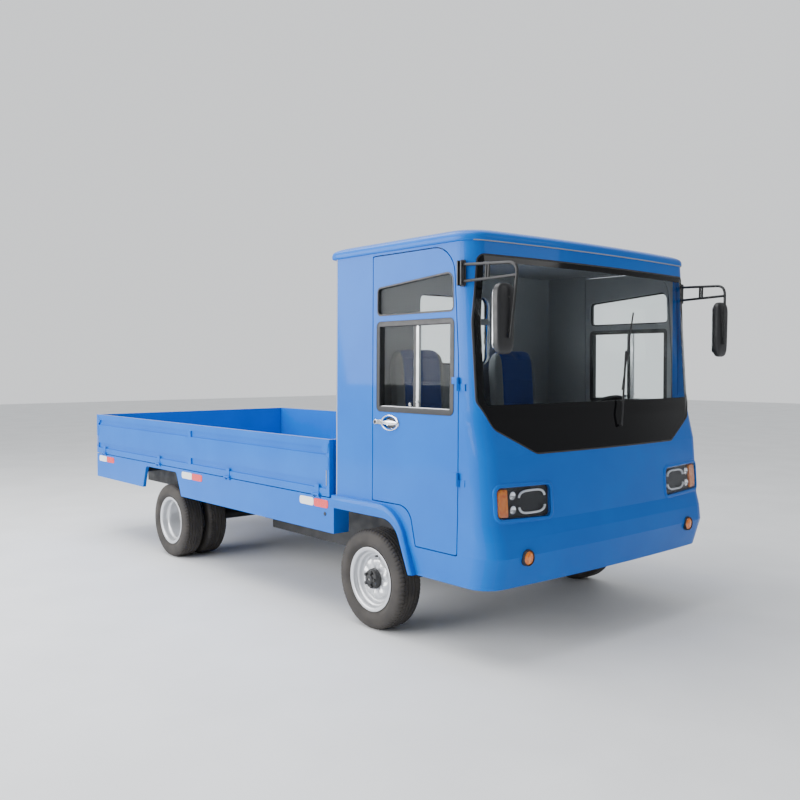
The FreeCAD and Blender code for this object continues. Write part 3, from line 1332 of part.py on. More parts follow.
keep(solid("steering_wheel", steering_wheel()))
keep(group("mirrors", *[solid("mirror_" + side, mirror_unit(side)) for side in ("left", "right")]))
keep(solid("wiper", wiper()))

doc.recompute()
for obj in doc.Objects:
    if "Invalid" in obj.State or "Error" in obj.State:
        raise RuntimeError("%s failed: %s" % (obj.Label, obj.State))
bad = [name for name, obj in parts.items() if obj.Shape.isNull() or not obj.Shape.isValid()]
if bad:
    raise RuntimeError("no valid shape: " + ", ".join(bad))

os.makedirs("parts", exist_ok=True)
total = FreeCAD.BoundBox()
for name, obj in parts.items():
    obj.Shape.exportStep("parts/%s.step" % name)
    total.add(obj.Shape.optimalBoundingBox())
    print("%-18s %d solids  %8.1f cm3" % (name, len(obj.Shape.Solids), obj.Shape.Volume / 1000))
print("nodes", len(parts), "box", total)
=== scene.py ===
# %% [markdown]
# # Burden carrier
# A small electric truck for carrying loads round a works: a closed cab for two, a bed with drop
# sides, single wheels in front and twins behind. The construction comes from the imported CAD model.
# These cells give each surface its finish and add what a press, a mould or a lathe would leave on
# it. Lengths are in metres, +X is forward, +Y is the truck's left and the ground is at z = 0.

# %% The frame
import math

import bmesh
import bpy
import numpy as np
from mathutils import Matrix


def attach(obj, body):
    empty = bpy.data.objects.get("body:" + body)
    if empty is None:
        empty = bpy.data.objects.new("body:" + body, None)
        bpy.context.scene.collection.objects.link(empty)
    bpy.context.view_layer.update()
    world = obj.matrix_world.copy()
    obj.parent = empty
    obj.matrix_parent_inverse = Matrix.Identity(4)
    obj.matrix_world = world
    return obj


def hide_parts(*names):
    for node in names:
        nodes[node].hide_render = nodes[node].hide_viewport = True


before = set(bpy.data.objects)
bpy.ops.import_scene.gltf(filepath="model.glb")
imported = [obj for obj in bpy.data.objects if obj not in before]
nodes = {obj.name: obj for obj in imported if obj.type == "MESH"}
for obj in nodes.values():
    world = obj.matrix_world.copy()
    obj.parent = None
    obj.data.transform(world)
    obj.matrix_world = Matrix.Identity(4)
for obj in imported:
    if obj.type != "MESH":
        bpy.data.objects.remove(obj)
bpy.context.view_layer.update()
scene = bpy.context.scene
front_axle = 1.414
rear_axle = front_axle - 2.475

# %% [markdown]
# The eye stands to the right of the truck's nose, at the height of a standing person, and looks
# a little down. A long focal length keeps the near corner of the cab from swelling.

# %% Camera
camera = bpy.data.objects.new("camera", bpy.data.cameras.new("camera"))
scene.collection.objects.link(camera)
camera.location = (5.209, -3.994, 1.481)
camera.rotation_euler = (math.radians(87.74), 0, math.radians(49.36))
camera.data.lens = 39.22
camera.data.sensor_width = 36
scene.camera = camera
print(f"camera {camera.location[:]} with a {camera.data.lens} mm lens")

# %% [markdown]
# Gloss paint shows what stands round it, so the light comes from wide soft panels: one over the
# truck for the roof and bonnet, one along its right side, which is the bright side, and a weaker
# one ahead of it. The floor and the air around are pale, and fill the shadows underneath. The air
# darkens ahead of the truck, as in a studio with a dark wall there, so the nose keeps its depth.

# %% Light and floor
def soft_panel(name, place, target, size, power, tint=(1, 1, 1)):
    """A rectangular light at a place, turned to face a target. Size is its width and height."""
    light = bpy.data.lights.new(name, "AREA")
    light.shape = "RECTANGLE"
    light.size, light.size_y = size
    light.energy = power
    light.color = tint
    panel = bpy.data.objects.new(name, light)
    scene.collection.objects.link(panel)
    panel.location = place
    away = np.array(target, float) - np.array(place, float)
    panel.rotation_euler = (
        math.acos(-away[2] / np.linalg.norm(away)),
        0,
        math.atan2(away[1], away[0]) - math.pi / 2,
    )
    return panel


soft_panel("light_over", (-0.5, -1.5, 6.0), (0, 0, 0.6), (7, 4), 380)
soft_panel("light_right", (-2.0, -7.5, 3.0), (0, 0, 0.9), (9, 3.6), 760)
soft_panel("light_ahead", (7.5, 3.5, 4.4), (0.8, 0, 1.0), (3, 2), 35)

world = bpy.data.worlds.new("pale_air")
scene.world = world
world.use_nodes = True
tree = world.node_tree
sky = tree.nodes.new("ShaderNodeTexCoord")
ahead = tree.nodes.new("ShaderNodeVectorMath")
ahead.operation = "DOT_PRODUCT"
ahead.inputs[1].default_value = (0.97, 0.24, 0)
shade = tree.nodes.new("ShaderNodeMapRange")
for socket, value in (("From Min", -0.2), ("From Max", 0.7), ("To Min", 1.1), ("To Max", 0.3)):
    shade.inputs[socket].default_value = value
tree.links.new(sky.outputs["Generated"], ahead.inputs[0])
tree.links.new(ahead.outputs["Value"], shade.inputs["Value"])
tree.links.new(shade.outputs["Result"], tree.nodes["Background"].inputs["Strength"])
tree.nodes["Background"].inputs["Color"].default_value = (0.94, 0.96, 0.98, 1)

bpy.ops.mesh.primitive_plane_add(size=60, location=(0, 0, -0.001))
floor = bpy.context.object
floor.name = "floor"
print("3 light panels, pale air and a floor of 60 m")

# %% [markdown]
# Every finish is a shader with its constants on its own sockets. What changes over the surface,
# such as dust, orange peel or grain, is a noise on the object's own coordinates, so it keeps its
# scale and its place when a door opens.

# %% Finishes
def finish(name, colour, roughness, metallic=0.0, **sockets):
    """A material with a Principled shader whose constants stand on the shader's sockets."""
    material = bpy.data.materials.new(name)
    material.use_nodes = True
    shader = material.node_tree.nodes["Principled BSDF"]
    shader.inputs["Base Color"].default_value = (*colour, 1)
    shader.inputs["Roughness"].default_value = roughness
    shader.inputs["Metallic"].default_value = metallic
    for socket, value in sockets.items():
        shader.inputs[socket.replace("_", " ")].default_value = value
    material.diffuse_color = (*colour, 1)
    return material


def noise(material, scale, detail=3.0, stretch=(1, 1, 1)):
    """Noise of so many cells a metre on the object's coordinates, stretched along an axis."""
    tree = material.node_tree
    place = tree.nodes.new("ShaderNodeTexCoord")
    turn = tree.nodes.new("ShaderNodeMapping")
    turn.inputs["Scale"].default_value = stretch
    cloud = tree.nodes.new("ShaderNodeTexNoise")
    cloud.inputs["Scale"].default_value = scale
    cloud.inputs["Detail"].default_value = detail
    tree.links.new(place.outputs["Object"], turn.inputs["Vector"])
    tree.links.new(turn.outputs["Vector"], cloud.inputs["Vector"])
    return cloud.outputs["Fac"]


def bumpy(material, height, depth, strength=0.5):
    """Raises the surface by a height map. Depth is the height of its bumps, in metres."""
    tree = material.node_tree
    bump = tree.nodes.new("ShaderNodeBump")
    bump.inputs["Distance"].default_value = depth
    bump.inputs["Strength"].default_value = strength
    shader = tree.nodes["Principled BSDF"]
    former = shader.inputs["Normal"].links
    if former:
        tree.links.new(former[0].from_socket, bump.inputs["Normal"])
    tree.links.new(height, bump.inputs["Height"])
    tree.links.new(bump.outputs["Normal"], shader.inputs["Normal"])


def between(material, factor, low, high, socket="Roughness"):
    """Drives a socket from one value to another by a factor: numbers, or colours as triples."""
    tree = material.node_tree
    ramp = tree.nodes.new("ShaderNodeValToRGB")
    ramp.color_ramp.elements[0].position = 0.35
    ramp.color_ramp.elements[1].position = 0.65
    for element, value in zip(ramp.color_ramp.elements, (low, high)):
        element.color = (*value, 1) if isinstance(value, tuple) else (value, value, value, 1)
    tree.links.new(factor, ramp.inputs["Fac"])
    tree.links.new(ramp.outputs["Color"], tree.nodes["Principled BSDF"].inputs[socket])


paint = finish("blue_paint", (0.0, 0.135, 0.58), 0.4, Specular_IOR_Level=0.1, Coat_Weight=0.5, Coat_IOR=1.25,
               Coat_Roughness=0.05)
between(paint, noise(paint, 3.0), (0.0, 0.128, 0.56), (0.0, 0.142, 0.60), "Base Color")
bumpy(paint, noise(paint, 160, 2), 0.0004, 0.12)

frame_paint = finish("frame_black", (0.02, 0.02, 0.021), 0.45)
between(frame_paint, noise(frame_paint, 14), 0.38, 0.6)
bumpy(frame_paint, noise(frame_paint, 220, 2), 0.0005, 0.2)

rubber = finish("tyre_rubber", (0.03, 0.027, 0.025), 0.72)
between(rubber, noise(rubber, 9, 5), (0.024, 0.021, 0.019), (0.045, 0.039, 0.034), "Base Color")
bumpy(rubber, noise(rubber, 300, 3), 0.0006, 0.25)

rim_paint = finish("rim_silver", (0.62, 0.63, 0.65), 0.34, metallic=0.65)
between(rim_paint, noise(rim_paint, 18, 4), 0.28, 0.42)
bumpy(rim_paint, noise(rim_paint, 400, 2), 0.0002, 0.1)

steel = finish("bare_steel", (0.46, 0.45, 0.44), 0.4, metallic=0.9)
between(steel, noise(steel, 30, 5), 0.3, 0.55)
bumpy(steel, noise(steel, 180, 3, (1, 1, 5)), 0.0003, 0.2)

glass = finish("clear_glass", (0.93, 0.97, 0.97), 0.01, Transmission_Weight=1.0, IOR=1.12)
between(glass, noise(glass, 4, 2), 0.0, 0.02)

screen_black = finish("black_glass", (0.004, 0.004, 0.005), 0.06, Specular_IOR_Level=0.35)
between(screen_black, noise(screen_black, 5, 2), 0.04, 0.09)

plastic = finish("black_plastic", (0.018, 0.018, 0.02), 0.4)
between(plastic, noise(plastic, 30), 0.34, 0.48)
bumpy(plastic, noise(plastic, 900, 2), 0.0003, 0.25)

lamp_cover = finish("lamp_clear", (0.95, 0.97, 1.0), 0.03, Transmission_Weight=1.0, IOR=1.15)
between(lamp_cover, noise(lamp_cover, 6, 2), 0.02, 0.05)

amber = finish("lamp_amber", (0.95, 0.22, 0.01), 0.12, Coat_Weight=0.8)
between(amber, noise(amber, 60, 2), (0.8, 0.14, 0.008), (1.0, 0.3, 0.02), "Base Color")

red_lens = finish("lamp_red", (0.62, 0.01, 0.012), 0.12, Coat_Weight=0.8)
between(red_lens, noise(red_lens, 60, 2), (0.45, 0.006, 0.008), (0.75, 0.02, 0.02), "Base Color")

def prisms(material):
    """Reflecting film: cells of 2.5 mm, each a small prism under a clear face."""
    tree = material.node_tree
    place = tree.nodes.new("ShaderNodeTexCoord")
    cells = tree.nodes.new("ShaderNodeTexVoronoi")
    cells.inputs["Scale"].default_value = 400
    tree.links.new(place.outputs["Object"], cells.inputs["Vector"])
    bumpy(material, cells.outputs["Distance"], 0.0004, 0.35)
    between(material, cells.outputs["Distance"], 0.22, 0.36)


tape = finish("reflective_tape", (0.85, 0.85, 0.84), 0.3)
prisms(tape)
lining = finish("interior_grey", (0.36, 0.37, 0.39), 0.62)
between(lining, noise(lining, 20), 0.5, 0.7)
bumpy(lining, noise(lining, 500, 2), 0.0004, 0.3)

dash = finish("dash_dark", (0.035, 0.035, 0.038), 0.55)
between(dash, noise(dash, 25), 0.48, 0.62)
bumpy(dash, noise(dash, 700, 2), 0.0004, 0.35)

cloth = finish("seat_fabric", (0.012, 0.05, 0.26), 0.85, Sheen_Weight=0.3)


def bolstered(material, low, high):
    """Colours cloth by the distance from the middle of the seat, and gives it a weave of 3 mm: the
    product of two waves raises the threads."""
    tree = material.node_tree
    place = tree.nodes.new("ShaderNodeTexCoord")
    split = tree.nodes.new("ShaderNodeSeparateXYZ")
    tree.links.new(place.outputs["Object"], split.inputs["Vector"])
    across = split.outputs["Y"]
    for operation, value in (("ABSOLUTE", None), ("SUBTRACT", 0.43), ("ABSOLUTE", None), ("GREATER_THAN", 0.148)):
        step = tree.nodes.new("ShaderNodeMath")
        step.operation = operation
        tree.links.new(across, step.inputs[0])
        if value is not None:
            step.inputs[1].default_value = value
        across = step.outputs["Value"]
    mix = tree.nodes.new("ShaderNodeMix")
    mix.data_type = "RGBA"
    tree.links.new(across, mix.inputs["Factor"])
    mix.inputs["A"].default_value = (*low, 1)
    mix.inputs["B"].default_value = (*high, 1)
    tree.links.new(mix.outputs["Result"], tree.nodes["Principled BSDF"].inputs["Base Color"])
    for axis in ("Y", "Z"):
        wave = tree.nodes.new("ShaderNodeTexWave")
        wave.bands_direction = axis
        wave.inputs["Scale"].default_value = 100
        tree.links.new(place.outputs["Object"], wave.inputs["Vector"])
        bumpy(material, wave.outputs["Fac"], 0.0004, 0.3)


bolstered(cloth, (0.012, 0.05, 0.26), (0.20, 0.21, 0.23))
chrome = finish("chrome", (0.82, 0.82, 0.83), 0.12, metallic=1.0)
between(chrome, noise(chrome, 40, 3), 0.08, 0.2)

light_guide = finish("light_guide", (0.94, 0.95, 0.97), 0.18, Coat_Weight=0.6)
between(light_guide, noise(light_guide, 80, 2), 0.14, 0.24)

red_film = finish("red_film", (0.78, 0.015, 0.03), 0.28, Coat_Weight=0.5)
prisms(red_film)
concrete = finish("floor_pale", (0.86, 0.87, 0.88), 0.75)
between(concrete, noise(concrete, 1.5, 4), (0.84, 0.85, 0.86), (0.89, 0.9, 0.91), "Base Color")
floor.data.materials.append(concrete)

finishes = {material.name: material for material in bpy.data.materials if material.use_nodes}
print(f"{len(finishes)} finishes")

# %% [markdown]
# A CAD node carries one material slot per finish of the record, so painting the truck is a matter
# of putting the finish of the same name into each slot.

# %% Paint the nodes
by_slot = {
    "blue_paint": paint, "frame_black": frame_paint, "tyre_rubber": rubber, "rim_silver": rim_paint,
    "clear_glass": glass, "black_glass": screen_black, "black_plastic": plastic,
    "lamp_clear": lamp_cover, "lamp_amber": amber, "lamp_red": red_lens, "reflective_tape": tape,
    "interior_grey": lining, "dash_dark": dash, "seat_fabric": cloth, "bare_steel": steel,
}
for name, node in nodes.items():
    for place in node.material_slots:
        place.material = by_slot[place.material.name.split(".")[0]]
print("painted", len(nodes), "nodes")

# %% [markdown]
# ## Lining
# Inside, the same panels wear a grey lining. A finish can wear both: a mask over the object's own
# coordinates is one where the surface is the inner face, and the colour, roughness and clear coat
# turn from paint to lining there. Walls and doors turn 20 mm inside the skin, the back wall half
# way through it, and the roof on its underside.

# %% Painted outside, lined inside
def lined(name, measure):
    """The blue paint with the lining mixed in where measure, a function that adds nodes for a
    number over the surface, is above zero."""
    material = paint.copy()
    material.name = name
    tree = material.node_tree
    shader = tree.nodes["Principled BSDF"]
    mask = tree.nodes.new("ShaderNodeMath")
    mask.operation = "GREATER_THAN"
    mask.inputs[1].default_value = 0
    tree.links.new(measure(tree), mask.inputs[0])
    cover = tree.nodes.new("ShaderNodeBsdfPrincipled")
    cover.inputs["Base Color"].default_value = (0.30, 0.31, 0.33, 1)
    cover.inputs["Roughness"].default_value = 0.7
    mix = tree.nodes.new("ShaderNodeMixShader")
    output = tree.nodes["Material Output"]
    tree.links.new(mask.outputs["Value"], mix.inputs["Fac"])
    tree.links.new(shader.outputs["BSDF"], mix.inputs[1])
    tree.links.new(cover.outputs["BSDF"], mix.inputs[2])
    tree.links.new(mix.outputs["Shader"], output.inputs["Surface"])
    return material


def coordinate(tree, axis):
    """One object coordinate as a node output."""
    place = tree.nodes.new("ShaderNodeTexCoord")
    split = tree.nodes.new("ShaderNodeSeparateXYZ")
    tree.links.new(place.outputs["Object"], split.inputs["Vector"])
    return split.outputs[axis]


def arithmetic(tree, operation, first, second=None):
    """A math node on two outputs or numbers."""
    node = tree.nodes.new("ShaderNodeMath")
    node.operation = operation
    for socket, value in zip(node.inputs, (first, second)):
        if isinstance(value, (int, float)):
            socket.default_value = value
        elif value is not None:
            tree.links.new(value, socket)
    return node.outputs["Value"]


def inside_walls(tree):
    """20 mm or more inside the side skin: 0.945 less the distance from the middle plane."""
    return arithmetic(tree, "SUBTRACT", 0.945, arithmetic(tree, "ABSOLUTE", coordinate(tree, "Y")))


def inside_back(tree):
    """In front of the middle of the back wall."""
    return arithmetic(tree, "SUBTRACT", coordinate(tree, "X"), front_axle - 0.330 + 0.018)


def under_roof(tree):
    """Where the surface faces down and lies inside the walls."""
    shape = tree.nodes.new("ShaderNodeNewGeometry")
    split = tree.nodes.new("ShaderNodeSeparateXYZ")
    tree.links.new(shape.outputs["Normal"], split.inputs["Vector"])
    down = arithmetic(tree, "LESS_THAN", split.outputs["Z"], -0.4)
    inner = arithmetic(tree, "LESS_THAN", arithmetic(tree, "ABSOLUTE", coordinate(tree, "Y")), 0.925)
    back = arithmetic(tree, "GREATER_THAN", coordinate(tree, "X"), front_axle - 0.30)
    return arithmetic(tree, "MULTIPLY", down, arithmetic(tree, "MULTIPLY", inner, back))


linings = {}
for finish_name, measure, names in (
        ("wall_lined", inside_walls, ("cab_side_left", "cab_side_right", "door_left", "door_right")),
        ("back_lined", inside_back, ("cab_rear_wall",)),
        ("roof_lined", under_roof, ("cab_roof",))):
    material = linings[finish_name] = lined(finish_name, measure)
    for name in names:
        for place in nodes[name].material_slots:
            if place.material is paint:
                place.material = material
print("lined the cab")

# %% [markdown]
# Most new pieces are surfaces in two parameters. A shape is an array of points, rows by columns,
# and neighbouring points make a quad. Rows and columns can close on themselves, as on a ring.
# Points that meet at a seam or a pole are merged, and the faces are then turned outwards.

# %% Surfaces from arrays
def grid(points, loop_rows=False, loop_columns=False):
    """Quads over points (rows, columns, 3): point (i, j) with (i+1, j), (i+1, j+1), (i, j+1)."""
    number = np.arange(points.shape[0] * points.shape[1]).reshape(points.shape[:2])
    if loop_rows:
        number = np.concatenate([number, number[:1]])
    if loop_columns:
        number = np.concatenate([number, number[:, :1]], axis=1)
    quads = np.stack([number[:-1, :-1], number[1:, :-1], number[1:, 1:], number[:-1, 1:]], axis=-1)
    return points.reshape(-1, 3), quads.reshape(-1, 4)


def piece(name, shapes, material, body="chassis", edge=35):
    """One object of several shapes, in the slot of its finish. Edges over so many degrees stay
    sharp."""
    starts = np.cumsum([0] + [len(points) for points, _ in shapes])
    points = np.concatenate([points for points, _ in shapes])
    quads = np.concatenate([quads + start for (_, quads), start in zip(shapes, starts)])
    mesh = bpy.data.meshes.new(name)
    mesh.from_pydata(points, [], quads)
    shell = bmesh.new()
    shell.from_mesh(mesh)
    bmesh.ops.remove_doubles(shell, verts=shell.verts, dist=1e-5)
    bmesh.ops.recalc_face_normals(shell, faces=shell.faces)
    shell.to_mesh(mesh)
    shell.free()
    mesh.shade_smooth()
    mesh.set_sharp_from_angle(angle=math.radians(edge))
    mesh.materials.append(material)
    obj = bpy.data.objects.new(name, mesh)
    scene.collection.objects.link(obj)
    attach(obj, body)
    print(f"{name}: {len(mesh.polygons)} faces")
    return obj


def mirrored(shapes):
    """The same shapes on the other side: Y changes its sign."""
    return [(points * (1, -1, 1), quads) for points, quads in shapes]


# %% [markdown]
# Two helpers shape lines before they are carried anywhere. One rounds a polygon the way a pattern
# maker does, by cutting its corners again and again. The other spaces points evenly on a line, and
# tells which way its outside lies.

# %% Lines
def softened(points, passes=2, closed=True):
    """Each pass replaces a side by its points at one and three quarters of its length."""
    points = np.array(points, float)
    for _ in range(passes):
        after = np.roll(points, -1, axis=0)
        near, far = points * 0.75 + after * 0.25, points * 0.25 + after * 0.75
        cut = np.stack([near, far], axis=1).reshape(-1, points.shape[1])
        points = cut if closed else np.concatenate([points[:1], cut[:-2], points[-1:]])
    return points


def rounded(corners, steps=10):
    """A closed outline of (u, v, radius) corners. Each corner becomes an arc that leaves its sides
    at the radius over the tangent of half its angle."""
    flat = np.array(corners, float)
    points, radii = flat[:, :2], flat[:, 2]
    back = np.roll(points, 1, axis=0) - points
    on = np.roll(points, -1, axis=0) - points
    back /= np.linalg.norm(back, axis=1)[:, None]
    on /= np.linalg.norm(on, axis=1)[:, None]
    half = np.arccos(np.clip((back * on).sum(axis=1), -1, 1)) / 2
    middle = points + (back + on) / np.linalg.norm(back + on, axis=1)[:, None] * (radii / np.sin(half))[:, None]
    share = np.linspace(0, 1, steps)[None, :, None]
    start = points + back * (radii / np.tan(half))[:, None] - middle
    stop = points + on * (radii / np.tan(half))[:, None] - middle
    sweep = (math.pi - 2 * half)[:, None, None]
    arc = (start[:, None] * np.sin((1 - share) * sweep) + stop[:, None] * np.sin(share * sweep)) / np.sin(sweep)
    return (middle[:, None] + arc).reshape(-1, 2)


def even(outline, count):
    """Points evenly spaced on a closed outline, and the unit normals that point out of it."""
    ring = np.concatenate([outline, outline[:1]])
    run = np.concatenate([[0], np.cumsum(np.linalg.norm(np.diff(ring, axis=0), axis=1))])
    at = np.linspace(0, run[-1], count, endpoint=False)
    points = np.stack([np.interp(at, run, ring[:, 0]), np.interp(at, run, ring[:, 1])], axis=1)
    along = np.roll(points, -1, axis=0) - np.roll(points, 1, axis=0)
    normal = np.stack([along[:, 1], -along[:, 0]], axis=1) / np.linalg.norm(along, axis=1)[:, None]
    area = (points[:, 0] * np.roll(points[:, 1], -1) - points[:, 1] * np.roll(points[:, 0], -1)).sum()
    return points, normal * np.sign(area)


# %% [markdown]
# Then come the ways of carrying a line: round an axis as a lathe does, along a bent path as tube is
# drawn, and round an outline as a rubber seal is laid. A plate is an outline drawn in towards its
# middle on two levels. What lies on the cab's skin is first drawn flat, and then a second function
# gives each point its place.

# %% Carried lines
def lathe(profile, centre, axis=(0, 1, 0), turns=96, wave=None):
    """A closed profile of (distance along the axis, radius) at every angle of a turn. wave adds to
    the distance, as a function of the angle and the radius."""
    axis = np.array(axis, float) / np.linalg.norm(axis)
    side = np.cross(axis, (0, 0, 1.0) if abs(axis[2]) < 0.9 else (1.0, 0, 0))
    side /= np.linalg.norm(side)
    up = np.cross(side, axis)
    along, radius = np.array(profile, float).T
    angle = np.linspace(0, 2 * math.pi, turns, endpoint=False)[:, None]
    reach = along + (wave(angle, radius) if wave else 0 * angle)
    points = (np.array(centre, float) + reach[..., None] * axis
              + (radius * np.sin(angle))[..., None] * side + (radius * np.cos(angle))[..., None] * up)
    return grid(points, loop_rows=True, loop_columns=True)


def tube(path, radius, bend=0.0, sides=12):
    """A circle carried along a path, square to it. Corners are softened by cutting them, and each
    end closes in a point."""
    path = softened(path, 3, closed=False) if bend else np.array(path, float)
    ahead = np.gradient(path, axis=0)
    ahead /= np.linalg.norm(ahead, axis=1)[:, None]
    guide = np.eye(3)[np.argmin(np.abs(ahead).max(axis=0))]
    side = np.cross(ahead, guide)
    side /= np.linalg.norm(side, axis=1)[:, None]
    up = np.cross(side, ahead)
    angle = np.linspace(0, 2 * math.pi, sides, endpoint=False)[None, :, None]
    ring = path[:, None] + radius * (np.cos(angle) * side[:, None] + np.sin(angle) * up[:, None])
    caps = [np.repeat(path[i][None, None], sides, axis=1) for i in (0, -1)]
    return grid(np.concatenate([caps[0], ring, caps[1]]), loop_columns=True)


def band(outline, profile, place, count=160):
    """A closed profile of (outwards, proud) carried round an outline. place turns flat points and
    their height over the surface into space."""
    points, normal = even(outline, count)
    outward, proud = np.array(profile, float).T
    flat = points[:, None] + normal[:, None] * outward[None, :, None]
    return grid(place(flat[..., 0], flat[..., 1], proud + 0 * flat[..., 0]), loop_rows=True, loop_columns=True)


def plate(outline, low, high, place, edge=0.0, count=96, crown=0.0):
    """An outline filled towards its middle at two heights, as one closed shell. edge rounds the
    upper rim, and crown raises the middle by one less the square of the share outwards."""
    points, _ = even(outline, count)
    middle = points.mean(axis=0)
    inner = 1 - edge / np.linalg.norm(points - middle, axis=1).mean()
    share = np.array([0, 0.5, 1, 1, 1 - (1 - inner) * 0.3, inner, 0.8 * inner, 0.5 * inner, 0])
    rise = np.array([low, low, low, high - edge, high - edge * 0.3, high, high, high, high])
    rise = rise + crown * (1 - share ** 2) * (rise > low + edge * 0.1)
    flat = middle + (points - middle)[:, None] * share[None, :, None]
    return grid(place(flat[..., 0], flat[..., 1], rise + 0 * flat[..., 0]), loop_rows=True)


# %% [markdown]
# The cab is a skin through seven level lines, each with its own front, half width, corner radius
# and bow. The same sizes give the place of anything that lies on it, so a lamp or a seal follows
# the curve of the real panel.

# %% The cab's skin
level = np.array([0.380, 0.540, 0.625, 0.700, 1.036, 1.205, 2.095])
level_front = np.array([0.935, 0.978, 0.968, 0.951, 0.936, 0.895, 0.832])
level_half = np.array([0.964, 0.974, 0.973, 0.970, 0.967, 0.967, 0.960])
level_corner = np.array([0.125, 0.130, 0.120, 0.112, 0.110, 0.110, 0.105])
level_bow = np.array([14.0, 16.0, 14.0, 12.0, 9.0, 9.0, 9.0])


def on_front(y, z, proud):
    """A point on the cab's front: an arc of the bow's radius, and past it the corner's arc."""
    nose, half, corner, bow = (np.interp(z, level, values) for values in
                               (level_front, level_half, level_corner, level_bow))
    turn = half - corner
    flat = nose - bow + np.sqrt(bow ** 2 - y ** 2)
    past = np.clip(np.abs(y) - turn, 0, corner * 0.97)
    round_x = nose - bow + np.sqrt((bow - corner) ** 2 - turn ** 2) + np.sqrt(corner ** 2 - past ** 2)
    x = np.where(np.abs(y) > turn, round_x, flat)
    lean = np.where(np.abs(y) > turn, past / corner, 0)
    return np.stack([front_axle + x + proud * np.sqrt(1 - lean ** 2), y + proud * lean * np.sign(y), z], axis=-1)


def on_right(x, z, proud):
    """A point on the right side wall, at its half width for the height."""
    return np.stack([front_axle + x, -np.interp(z, level, level_half) - proud, z], axis=-1)


def flat_at(y):
    """Places flat (x, z) points on an upright plane at Y, proud to the right."""
    return lambda x, z, proud: np.stack([front_axle + x, y - proud, z], axis=-1)


print(f"the nose stands at x = {on_front(0.0, 0.54, 0.0)[0]:.3f} m")

# %% [markdown]
# ## Tyres
# A tyre is its section carried round the axle, with grooves pressed into the tread: five run round
# it, and short ones cross its shoulders. The depth of rubber taken away is a function of the angle
# and of the place across, so no groove is modelled by hand. The sidewalls carry fine mould rings.

# %% Tyre surface
wheel_height = 0.2805
tyre_section = softened([
    (0.0640, 0.1660), (0.0640, 0.1830), (0.0695, 0.1900), (0.0800, 0.2060), (0.0832, 0.2270),
    (0.0800, 0.2480), (0.0750, 0.2630), (0.0665, 0.2745), (0.0560, 0.2800), (0.0300, 0.2810),
    (0.0, 0.2810)], 1, closed=False)


def tyre(x, y):
    """The section turned about the axle. The radius loses 5 mm in a groove: where the distance
    across is near one of five lines, or on the shoulder for a quarter of each of 72 pitches."""
    across = np.concatenate([-tyre_section[:, 0], np.linspace(-0.054, 0.054, 41), tyre_section[::-1, 0]])
    radius = np.concatenate([tyre_section[:, 1], np.full(41, 0.2804), tyre_section[::-1, 1]])
    order = (np.abs(across) < 0.0545) & (radius > 0.2795) & (radius != 0.2804)
    across, radius = across[~order], np.minimum(radius[~order], 0.2804)
    angle = np.linspace(0, 2 * math.pi, 360, endpoint=False)[:, None]
    lines = np.abs(across[None] - np.array([-0.044, -0.022, 0, 0.022, 0.044])[:, None]).min(axis=0) < 0.0026
    pitch = np.mod(angle * 72 / (2 * math.pi) + across * 9, 1)
    shoulder = (np.abs(across) > 0.047) & (np.abs(across) < 0.0745) & (radius > 0.262)
    block = (np.abs(across) > 0.024) & (np.abs(across) < 0.0415)
    fine = np.mod(angle * 72 / (2 * math.pi) - across * 14 + 0.4, 1)
    depth = 0.005 * lines + 0.004 * (pitch < 0.26) * shoulder + 0.0022 * (fine < 0.18) * block
    ring = 0.0005 * np.sin(radius * 1400) * (radius < 0.255) * (radius > 0.195)
    r = radius - np.maximum(depth, 0.0)
    points = np.stack([x + r * np.sin(angle), y + (across + np.sign(across) * ring) + 0 * angle,
                       wheel_height + r * np.cos(angle)], axis=-1)
    return grid(points, loop_rows=True, loop_columns=True)


# %% Six tyres
front_y, rear_y, twin = 0.890, 0.892, 0.195
for side, sign in (("left", 1), ("right", -1)):
    tread = piece(f"tread_front_{side}", [tyre(front_axle, sign * front_y)], rubber, f"front_wheel_{side}")
    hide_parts(f"front_tyre_{side}")
    pair = [tyre(rear_axle, sign * rear_y), tyre(rear_axle, sign * (rear_y - twin))]
    tread = piece(f"tread_rear_{side}", pair, rubber, f"rear_wheels_{side}")
    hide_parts(f"rear_tyres_{side}")

# %% [markdown]
# ## Wheels
# Pressed steel wheels get their look from the shape of the press: a rolled lip, two steps down to
# the dish, and ten small lobes round the hub that stiffen the disc. The lobes are a wave in the
# disc's own depth. The rear wheels are the same barrel with the disc far inside, back to back.

# %% Front wheels
front_section = softened([
    (0.0655, 0.1652), (0.0655, 0.1760), (0.0668, 0.1805), (0.0692, 0.1812), (0.0702, 0.1775),
    (0.0690, 0.1690), (0.0655, 0.1600), (0.0590, 0.1568), (0.0420, 0.1558), (0.0372, 0.1520),
    (0.0352, 0.1440), (0.0300, 0.1408), (0.0150, 0.1396), (0.0090, 0.1350), (0.0085, 0.1290),
    (0.0130, 0.1225), (0.0240, 0.1165), (0.0330, 0.1080), (0.0365, 0.0960), (0.0365, 0.0820),
    (0.0340, 0.0700), (0.0340, 0.0560), (0.0270, 0.0560), (0.0280, 0.0820), (0.0250, 0.1000),
    (0.0160, 0.1120), (0.0030, 0.1240), (0.0010, 0.1370), (0.0060, 0.1480), (-0.0550, 0.1500),
    (-0.0640, 0.1560), (-0.0690, 0.1690), (-0.0702, 0.1775), (-0.0692, 0.1812), (-0.0668, 0.1805),
    (-0.0655, 0.1760), (-0.0655, 0.1652), (0.0, 0.1650)], 1)


def lobes(angle, radius):
    """Ten waves round the disc, 5 mm deep, under an arch between the radii of 62 and 118 mm."""
    arch = np.clip((radius - 0.062) * (0.118 - radius) / 0.000784, 0, 1)
    return 0.0050 * arch * np.cos(10 * angle)


